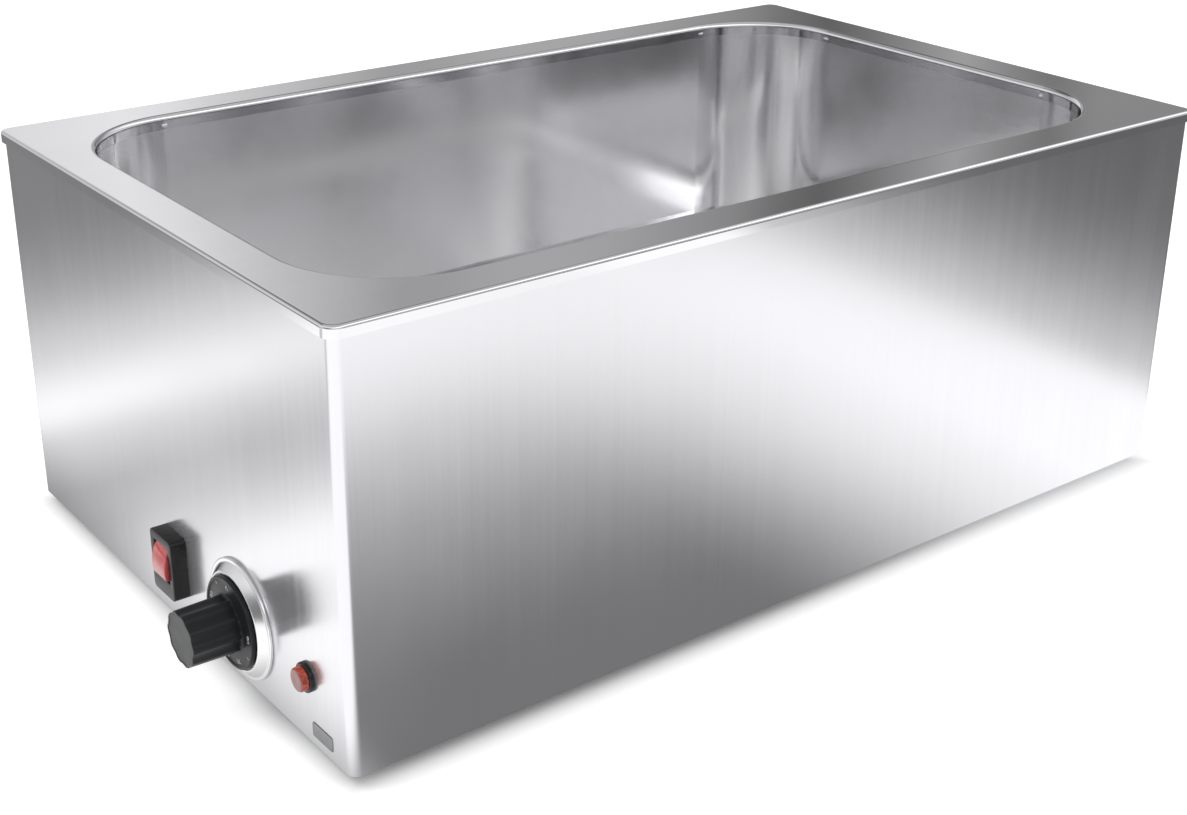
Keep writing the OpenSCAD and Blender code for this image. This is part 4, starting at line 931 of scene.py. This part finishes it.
    def add_number(self, form: Form, number: str, angle: float) -> None:
        """Print a number on the skirt, its top outwards.

        Args:
            form: The printing so far.
            number: The number.
            angle: Its place round the skirt, in radians.
        """
        curve = bpy.data.curves.new("dial_figure", "FONT")
        curve.body, curve.size, curve.extrude = number, self.number_size, self.number_depth
        curve.align_x, curve.align_y = "CENTER", "CENTER"
        figure = bpy.data.objects.new("dial_figure", curve)
        data = figure.to_mesh().copy()
        spot = Vector((math.cos(angle), math.sin(angle), 0.0)) * self.number_radius
        spot.z = self.skirt_face(self.number_radius) + self.number_lift
        data.transform(Matrix.Translation(spot) @ Matrix.Rotation(angle - math.pi / 2, 4, "Z"))
        bpy.data.objects.remove(figure)
        take_in(form, data)

    def add_tick(self, form: Form, angle: float) -> None:
        """Print a short tick on the skirt.

        Args:
            form: The printing so far.
            angle: Its place round the skirt, in radians.
        """
        spot = Vector((self.tick_radius, 0.0, self.skirt_face(self.tick_radius)))
        made = bmesh.ops.create_cube(form, size=1.0)["verts"]
        place = Matrix.Rotation(angle, 4, "Z") @ Matrix.Translation(spot)
        bmesh.ops.transform(
            form, matrix=place @ Matrix.Diagonal((*self.tick_size, 1.0)), verts=made)


@dataclass
class Bezel:
    """Polished pressed ring that the knob's skirt turns in."""

    shop: Workshop
    across: float = 77.0
    radius: float = 31.0
    height: float = 5.2
    flank: float = 5.8
    flank_foot: float = 1.9
    wall: float = 0.9
    floor: float = 0.8
    hole: float = 5.3
    rim: float = 1.8
    rim_width: float = 2.0
    seam: float = 1.5
    seam_width: float = 0.4
    steps: int = 180

    def build(self) -> None:
        """Build the ring."""
        lip, bead = self.radius - self.flank, self.radius - self.rim_width
        form = lathe((
            (self.hole, 0.0, 0.0), (self.radius, 0.0, 0.7), (self.radius, self.rim, 0.8),
            (bead, self.seam, 0.25), (bead - self.seam_width, self.flank_foot, 0.2),
            (lip, self.height, 0.5), (lip - self.wall, self.height, 0.35),
            (lip - self.wall, self.floor, 0.3), (self.hole, self.floor, 0.2),
        ), closed=True, steps=self.steps)
        self.shop.deliver(form, "polished_bezel", "housing", CHROME, "bright_chrome",
                          panel_place(self.across), ("thermostat_bezel",), sharp=50.0)


@dataclass
class SwitchUnit:
    """Rocker switch: black case and translucent red rocker."""

    shop: Workshop
    across: float = 6.0
    width: float = 24.0
    height: float = 34.0
    out: float = 8.5
    corner: float = 2.8
    inset_share: float = 0.9
    step: float = 1.3
    depth_inside: float = 16.0
    opening: Pair = (15.6, 20.0)
    opening_depth: float = 12.6
    opening_rounding: float = 0.5
    pivot_back: float = 3.8
    rocker_up: float = 2.0
    rocker_width: float = 14.8
    rocker_half: float = 8.8
    rocker_rise: float = 4.0
    rocker_crown: float = 1.9
    rocker_drop: float = 3.2
    rocker_foot: float = 0.65
    rocker_rounding: float = 0.55
    rocker_steps: int = 24
    hard_angle: float = 30.0
    shoulder: float = 1.0
    tilt: float = 10.0

    def build(self) -> None:
        """Build the case and the rocker."""
        place = panel_place(self.across)
        self.shop.deliver(self.case(), "switch_case", "housing", GLOSS_BLACK, "gloss_black",
                          place, ("switch_housing",))
        pivot = Matrix.Translation((0.0, self.rocker_up, self.out - self.pivot_back))
        turn = Matrix.Rotation(-math.radians(self.tilt), 4, "X")
        self.shop.deliver(self.rocker(), "red_rocker", "rocker", ROCKER_RED, "red_rocker",
                          place @ pivot @ turn, ("switch_rocker",))

    def case(self) -> Form:
        """Make the case: a raised frame in front, a smaller box behind the panel.

        Returns:
            The case.
        """
        form = block((self.width, self.height, self.out), self.corner, 6)
        self.inset_to(form, self.out, self.opening, -self.opening_depth, self.rocker_up)
        box = (self.width - 2 * self.step, self.height - 2 * self.step)
        self.inset_to(form, 0.0, box, -self.depth_inside)
        lip = [edge for edge in form.edges if len(edge.link_faces) == 2
               and all(abs(v.co.z - self.out) < LEVEL for v in edge.verts)
               and edge.calc_face_angle(0.0) > 1.0]
        round_edges(form, lip, self.opening_rounding, 3)
        return form

    def inset_to(self, form: Form, level: float, size: Pair, rise: float, up: float = 0.0) -> None:
        """Inset the flat face at a level to a size and move it along Z.

        Args:
            form: The case.
            level: Height of the face.
            size: Width and height to reach.
            rise: How far the inset face moves along Z.
            up: How far above the face's middle the inset one lies.
        """
        bmesh.ops.inset_region(
            form, faces=faces_at(form, level)[-1:], thickness=self.corner * self.inset_share)
        inner = middle_face_at(form, level)
        spans = [max(abs(v.co[axis]) for v in inner.verts) * 2 for axis in (0, 1)]
        bmesh.ops.scale(
            form, vec=(size[0] / spans[0], size[1] / spans[1], 1.0), verts=list(inner.verts))
        bmesh.ops.translate(form, vec=(0.0, up, 0.0), verts=list(inner.verts))
        push_out(form, [inner], (0.0, 0.0, rise))

    def rocker(self) -> Form:
        """Make the rocker about its pivot, level, with a crowned face.

        Returns:
            The rocker.
        """
        half, crown = self.rocker_half, self.rocker_crown
        radius = (half ** 2 + crown ** 2) / (2 * crown)
        form = bmesh.new()
        start = form.verts.new((0.0, -half, self.rocker_rise))
        bmesh.ops.spin(form, geom=[start], cent=(0.0, 0.0, self.rocker_rise + crown - radius),
                       axis=(-1.0, 0.0, 0.0), dvec=(0.0, 0.0, 0.0), steps=self.rocker_steps,
                       angle=2.0 * math.asin(half / radius), use_duplicate=False)
        last = max(form.verts, key=lambda vert: vert.co.y)
        foot = half * self.rocker_foot
        chain = [last] + [form.verts.new((0.0, y, z)) for y, z in (
            (half, self.shoulder), (foot, -self.rocker_drop), (-foot, -self.rocker_drop),
            (-half, self.shoulder))] + [start]
        for first, second in zip(chain, chain[1:]):
            form.edges.new((first, second))
        bmesh.ops.contextual_create(form, geom=form.edges[:])
        bmesh.ops.translate(form, vec=(-self.rocker_width / 2, 0.0, 0.0), verts=form.verts[:])
        push_out(form, form.faces[:], (self.rocker_width, 0.0, 0.0))
        bmesh.ops.recalc_face_normals(form, faces=form.faces[:])
        hard = [
            edge for edge in form.edges if edge.calc_face_angle(0.0) > math.radians(self.hard_angle)
            and min(v.co.z for v in edge.verts) > self.shoulder]
        round_edges(form, hard, self.rocker_rounding, 4)
        return form


@dataclass
class PilotLamp:
    """Pilot lamp: black collar and ribbed red lens."""

    shop: Workshop
    across: float = 140.0
    collar_radius: float = 7.4
    collar_height: float = 2.2
    seat_radius: float = 5.2
    stem_radius: float = 5.0
    stem_back: float = 1.0
    lens_radius: float = 6.0
    lens_out: float = 3.6
    lens_rounding: float = 1.3
    foot: float = 0.8
    drum_end: float = 1.5
    dimple_radius: float = 2.5
    dimple_depth: float = 0.25
    ribs: int = 12
    rib_steps: int = 12
    rib_depth: float = 0.4
    rib_end: float = 0.6

    def build(self) -> None:
        """Build the collar and the lens."""
        place = panel_place(self.across)
        collar = lathe((
            (self.seat_radius, 0.0, 0.0), (self.collar_radius, 0.0, 0.2),
            (self.collar_radius, self.collar_height, 0.7),
            (self.seat_radius, self.collar_height, 0.2),
        ), closed=True)
        self.shop.deliver(
            collar, "lamp_collar", "housing", GLOSS_BLACK, "gloss_black", place, ("pilot_collar",))
        self.shop.deliver(
            self.lens(), "ribbed_lens", "housing", LENS_RED, "red_lens", place, ("pilot_lens",))

    def lens(self) -> Form:
        """Make the lens: a low drum with upright ribs and a softly dimpled end.

        Returns:
            The lens.
        """
        seat, wide = self.collar_height, self.lens_radius
        top = seat + self.lens_out
        form = lathe((
            (0.0, self.stem_back, 0.0), (self.stem_radius, self.stem_back, 0.0),
            (self.stem_radius, seat, 0.0), (wide, seat, 0.15), (wide, seat + self.foot, 0.0),
            (wide, top - self.drum_end, 0.0), (wide, top, self.lens_rounding),
            (self.dimple_radius, top, 0.4), (0.0, top - self.dimple_depth, 0.0),
        ), steps=self.ribs * self.rib_steps)
        for vert in form.verts:
            radius = vert.co.xy.length
            ribbed = seat + self.foot - LEVEL < vert.co.z < top - self.rib_end
            if ribbed and radius > wide - self.rib_end:
                wave = math.cos(self.ribs * math.atan2(vert.co.y, vert.co.x))
                vert.co.xy *= (radius - self.rib_depth * (0.5 - 0.5 * wave)) / radius
        return form


@dataclass
class Badge:
    """Small bare plate at the lower right of the front."""

    shop: Workshop
    across: float = 152.0
    up: float = 15.0
    size: Triple = (18.0, 7.5, 0.4)
    corner: float = 1.0
    edge_rounding: float = 0.1
    border: float = 0.55
    sunk: float = 0.12

    def build(self) -> None:
        """Build the plate with its sunk field."""
        top = self.size[2]
        form = block(self.size, self.corner, 5)
        round_edges(form, list(faces_at(form, top)[-1].edges), self.edge_rounding, 2)
        bmesh.ops.inset_region(form, faces=faces_at(form, top)[-1:], thickness=self.border)
        bmesh.ops.inset_region(
            form, faces=[middle_face_at(form, top)], thickness=self.sunk, depth=-self.sunk)
        self.shop.deliver(form, "bare_badge", "housing", BADGE, "badge_metal",
                          panel_place(self.across, self.up), ("badge_plate",))


@dataclass
class CollarWelds:
    """Small weld beads under the opening's rim, at the ends of each round corner."""

    shop: Workshop
    half_width: float = 152.5
    half_length: float = 257.5
    middle: float = 4.2
    corner: float = 60.0
    top: float = 225.0
    down: float = 5.6
    bead: Triple = (2.4, 1.0, 0.9)
    wave: float = 0.12
    wave_rate: float = 5.0

    def build(self) -> None:
        """Build the eight beads as one piece."""
        form = bmesh.new()
        sides = (self.half_width, self.half_length - self.corner, math.pi / 2)
        ends = (self.half_width - self.corner, self.half_length, 0.0)
        for (across, along, turn), side, end in product((sides, ends), (-1.0, 1.0), (-1.0, 1.0)):
            self.add(form, side * across, self.middle + end * along, turn)
        self.shop.deliver(
            form, "collar_weld_beads", "housing", DECK_STEEL, "deck_steel", Matrix.Scale(MM, 4))

    def add(self, form: Form, x: float, y: float, turn: float) -> None:
        """Add one bead on the collar's inner face.

        Args:
            form: The form that takes the bead.
            x: Its place across.
            y: Its place lengthwise.
            turn: Its turn about Z.
        """
        made = bmesh.ops.create_uvsphere(form, u_segments=20, v_segments=12, radius=1.0)["verts"]
        for vert in made:
            vert.co.x *= 1.0 + self.wave * math.sin(self.wave_rate * vert.co.z + x)
        place = Matrix.Translation((x, y, self.top - self.down)) @ Matrix.Rotation(turn, 4, "Z")
        bmesh.ops.transform(form, matrix=place @ Matrix.Diagonal((*self.bead, 1.0)), verts=made)


@dataclass
class Viewpoint:
    """The camera, at the photograph's viewpoint."""

    eye: Triple = (0.7735, -0.6012, 0.4952)
    azimuth: float = 52.41
    elevation: float = 22.96
    roll: float = 0.51
    focal_pixels: float = 1807.0
    lower_pixels: float = 47.5
    nearest: float = 0.01

    def build(self) -> None:
        """Make the camera and hand it to the scene."""
        data = bpy.data.cameras.new("camera")
        data.sensor_width, data.clip_start = SENSOR_MM, self.nearest
        data.lens = self.focal_pixels / FRAME_PIXELS * SENSOR_MM
        data.shift_y = -self.lower_pixels / FRAME_PIXELS
        camera = add_object("camera", data)
        place = Matrix.Translation(self.eye)
        for angle, axis in ((self.azimuth, "Z"), (90.0 - self.elevation, "X"), (self.roll, "Z")):
            place @= Matrix.Rotation(math.radians(angle), 4, axis)
        camera.matrix_world = place
        bpy.context.scene.camera = camera


@dataclass
class Floor:
    """Pale floor: white to the camera but for a soft shadow, partly painted, and graded to the
    metal with painted tones.

    It is clear from below, so that the underside can be seen.
    """

    half: float = 4.0
    grey: float = 0.93
    roughness: float = 0.9
    lift: float = 0.40
    mirrored_level: float = 1.30
    half_width: float = 0.178
    front: float = -0.276
    rear: float = 0.290
    under: float = 0.008
    finger: float = 0.014
    behind_band: Pair = (-0.31, -0.07)
    ahead_band: Pair = (-0.05, 0.03)
    ahead_span: Pair = (-1.0, 0.6)
    # Tones that the steel mirrors: dark next to the object as a painted shadow, with bright strips
    # further out
    beside: Stops = (
        (0.20, 0.17), (0.24, 0.17), (0.28, 0.20), (0.31, 0.25), (0.35, 0.31), (0.40, 0.39),
        (0.45, 0.52), (0.51, 0.69), (0.56, 0.87), (0.61, 1.0), (0.90, 0.9))
    behind: Stops = (
        (0.20, 0.90), (0.25, 1.0), (0.37, 1.0), (0.41, 0.60), (0.45, 0.50), (0.49, 0.42),
        (0.53, 0.31), (0.61, 0.20), (0.69, 0.14), (0.85, 0.12))
    ahead: Stops = (
        (0.20, 0.20), (0.25, 0.25), (0.288, 0.31), (0.325, 0.40), (0.356, 0.55), (0.388, 0.66),
        (0.416, 0.87), (0.434, 1.0), (0.450, 0.97), (0.469, 0.73), (0.494, 0.59), (0.516, 0.48),
        (0.544, 0.55), (0.569, 0.72), (0.594, 0.98), (0.625, 1.0))

    def build(self) -> None:
        """Make the floor."""
        form = bmesh.new()
        bmesh.ops.create_grid(form, x_segments=1, y_segments=1, size=self.half)
        data = mesh_of(form, "floor")
        floor = add_object("floor", data)
        data.materials.append(self.paper())

    def paper(self) -> bpy.types.Material:
        """Build the floor's material.

        Returns:
            The new material.
        """
        bench = MaterialBench("floor_paper")
        bench.material.cycles.emission_sampling = "NONE"
        path = bench.add("LightPath").outputs
        # Painted shadow: the camera's white lift is taken away below the object and fades back in a
        # finger's width outside it
        lift = bench.math("MULTIPLY", self.outside_painted_shadow(bench), self.lift)
        bench.set(Roughness=self.roughness, Base_Color=(self.grey,) * 3, Emission_Color=WHITE,
                  Emission_Strength=bench.math("MULTIPLY", path["Is Camera Ray"], lift))
        # The steel mirrors painted tones, which hold a painted shadow of the object beside it
        tones = bench.add("Emission", self.tones(bench), self.mirrored_level)
        above = bench.add(
            "MixShader", bench.mirrored(path), bench.shader.outputs[0], tones.outputs[0])
        clear = bench.add("BsdfTransparent").outputs[0]
        below = bench.add("NewGeometry").outputs["Backfacing"]
        either = bench.add("MixShader", below, above.outputs[0], clear)
        bench.feed(bench.tree.nodes["Material Output"].inputs["Surface"], either.outputs[0])
        return bench.material

    def outside_painted_shadow(self, bench: NodeBench) -> Socket:
        """Tell the open floor from the floor below the object, where the camera's white lift is
        taken away to paint a shadow.

        Args:
            bench: The floor's nodes.

        Returns:
            The socket of a mask, 0 below the object and 1 from a finger's width outside it.
        """
        place = bench.axes()
        along = bench.math("SUBTRACT", place["Y"], (self.front + self.rear) / 2)
        past = [bench.math("SUBTRACT", bench.math("ABSOLUTE", value), half) for value, half in (
            (place["X"], self.half_width), (along, (self.rear - self.front) / 2))]
        return bench.spread(bench.math("MAXIMUM", *past), 0.0, 1.0, -self.under, self.finger)

    def tones(self, bench: NodeBench) -> Socket:
        """Lay out the floor that the steel mirrors: soft bright strips, ground next to the object
        darkened as a painted shadow, and darker ground far off.

        Args:
            bench: The floor's nodes.

        Returns:
            The tone's socket, from 0 to 1.
        """
        place = bench.axes()
        across, along = place["X"], place["Y"]
        beside = bench.ramp(bench.math("ABSOLUTE", across), self.beside)
        behind = bench.ramp(along, self.behind)
        ahead = bench.ramp(
            bench.spread(across, 0.0, 1.0, *self.ahead_span, Ease.EVEN), self.ahead)
        rearward = bench.spread(along, 0.0, 1.0, *(self.rear + way for way in self.behind_band))
        forward = bench.spread(along, 1.0, 0.0, *(self.front + way for way in self.ahead_band))
        return bench.mix(forward, bench.mix(rearward, beside, behind), ahead)


@dataclass
class Surround:
    """World that lights the object evenly, white to the camera and graded to the metal."""

    level: float = 0.75
    raised_gain: float = 2.0
    raised_band: Pair = (0.42, 0.55)
    top_level: float = 0.58
    top_band: Pair = (0.66, 0.80)
    side: Stops = (
        (0.0, 0.66), (0.05, 0.68), (0.10, 0.56), (0.15, 0.33), (0.20, 0.16), (0.25, 0.28),
        (0.30, 0.66), (0.34, 0.88), (0.38, 0.92), (0.42, 0.76), (0.48, 0.58), (0.54, 0.74),
        (0.555, 0.88), (0.564, 0.97), (0.572, 0.71), (0.579, 0.57), (0.587, 0.38), (0.596, 0.47),
        (0.605, 0.45), (0.617, 0.30), (0.624, 0.125), (0.630, 0.23), (0.637, 0.42),
        (0.6435, 0.19), (0.649, 0.31), (0.655, 0.28), (0.67, 0.34), (0.70, 0.60), (0.76, 0.80),
        (0.82, 0.66), (0.90, 0.55), (1.0, 0.66))
    raised: Stops = (
        (0.0, 0.98), (0.2, 0.62), (0.35, 0.46), (0.41, 0.18), (0.48, 0.12), (0.6, 0.04),
        (0.8, 0.82), (1.0, 0.98))

    def build(self) -> None:
        """Set up the world."""
        world = bpy.data.worlds.new("studio")
        bpy.context.scene.world = world
        world.use_nodes = True
        world.cycles.sampling_method = "NONE"
        bench = NodeBench(world.node_tree)
        path = bench.add("LightPath").outputs
        way = bench.axes("Generated")
        angle = bench.math("ARCTAN2", way["Y"], bench.math("MULTIPLY", way["X"], -1.0))
        turn = bench.spread(angle, 0.0, 1.0, -math.pi, math.pi, Ease.EVEN)
        raised = bench.math("MULTIPLY", bench.ramp(turn, self.raised), self.raised_gain)
        tone = bench.ramp(turn, self.side)
        for band, upper in ((self.raised_band, raised), (self.top_band, self.top_level)):
            tone = bench.mix(bench.spread(way["Z"], 0.0, 1.0, *band, Ease.EVEN), tone, upper)
        plain = bench.spread(path["Is Camera Ray"], self.level, 1.0, ease=Ease.EVEN)
        bench.fill(world.node_tree.nodes["Background"],
                   {"Color": WHITE, "Strength": bench.mix(bench.mirrored(path), plain, tone)})


@dataclass
class Lamp:
    """Soft square lamp that faces the object, and that its metal doesn't mirror."""

    name: str
    place: Triple
    power: float
    size: float = 1.6
    aim: Triple = (0.0, 0.0, 0.1)

    def build(self) -> None:
        """Hang the lamp."""
        data = bpy.data.lights.new(self.name, "AREA")
        data.size, data.energy = self.size, self.power
        lamp = add_object(self.name, data)
        lamp.visible_glossy = False
        facing = (Vector(self.aim) - Vector(self.place)).to_track_quat("-Z", "Y")
        lamp.matrix_world = Matrix.Translation(self.place) @ facing.to_matrix().to_4x4()


def main() -> None:
    """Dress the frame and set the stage."""
    logging.basicConfig(level=logging.INFO, format="%(message)s")
    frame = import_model()
    bpy.context.scene.view_settings.view_transform = "Standard"
    for stage in (
            Viewpoint(), Floor(), Surround(), Lamp("key_lamp", (-1.2, -1.6, 1.9), 22.0),
            Lamp("fill_lamp", (1.9, 0.6, 1.5), 9.0)):
        stage.build()
    shop = Workshop(frame["nodes"])
    for finish, names in NODE_FINISHES.items():
        shop.dress(finish, names)
    for part in (ControlKnob, Bezel, SwitchUnit, PilotLamp, Badge, CollarWelds):
        part(shop).build()


if __name__ == "__main__":
    main()
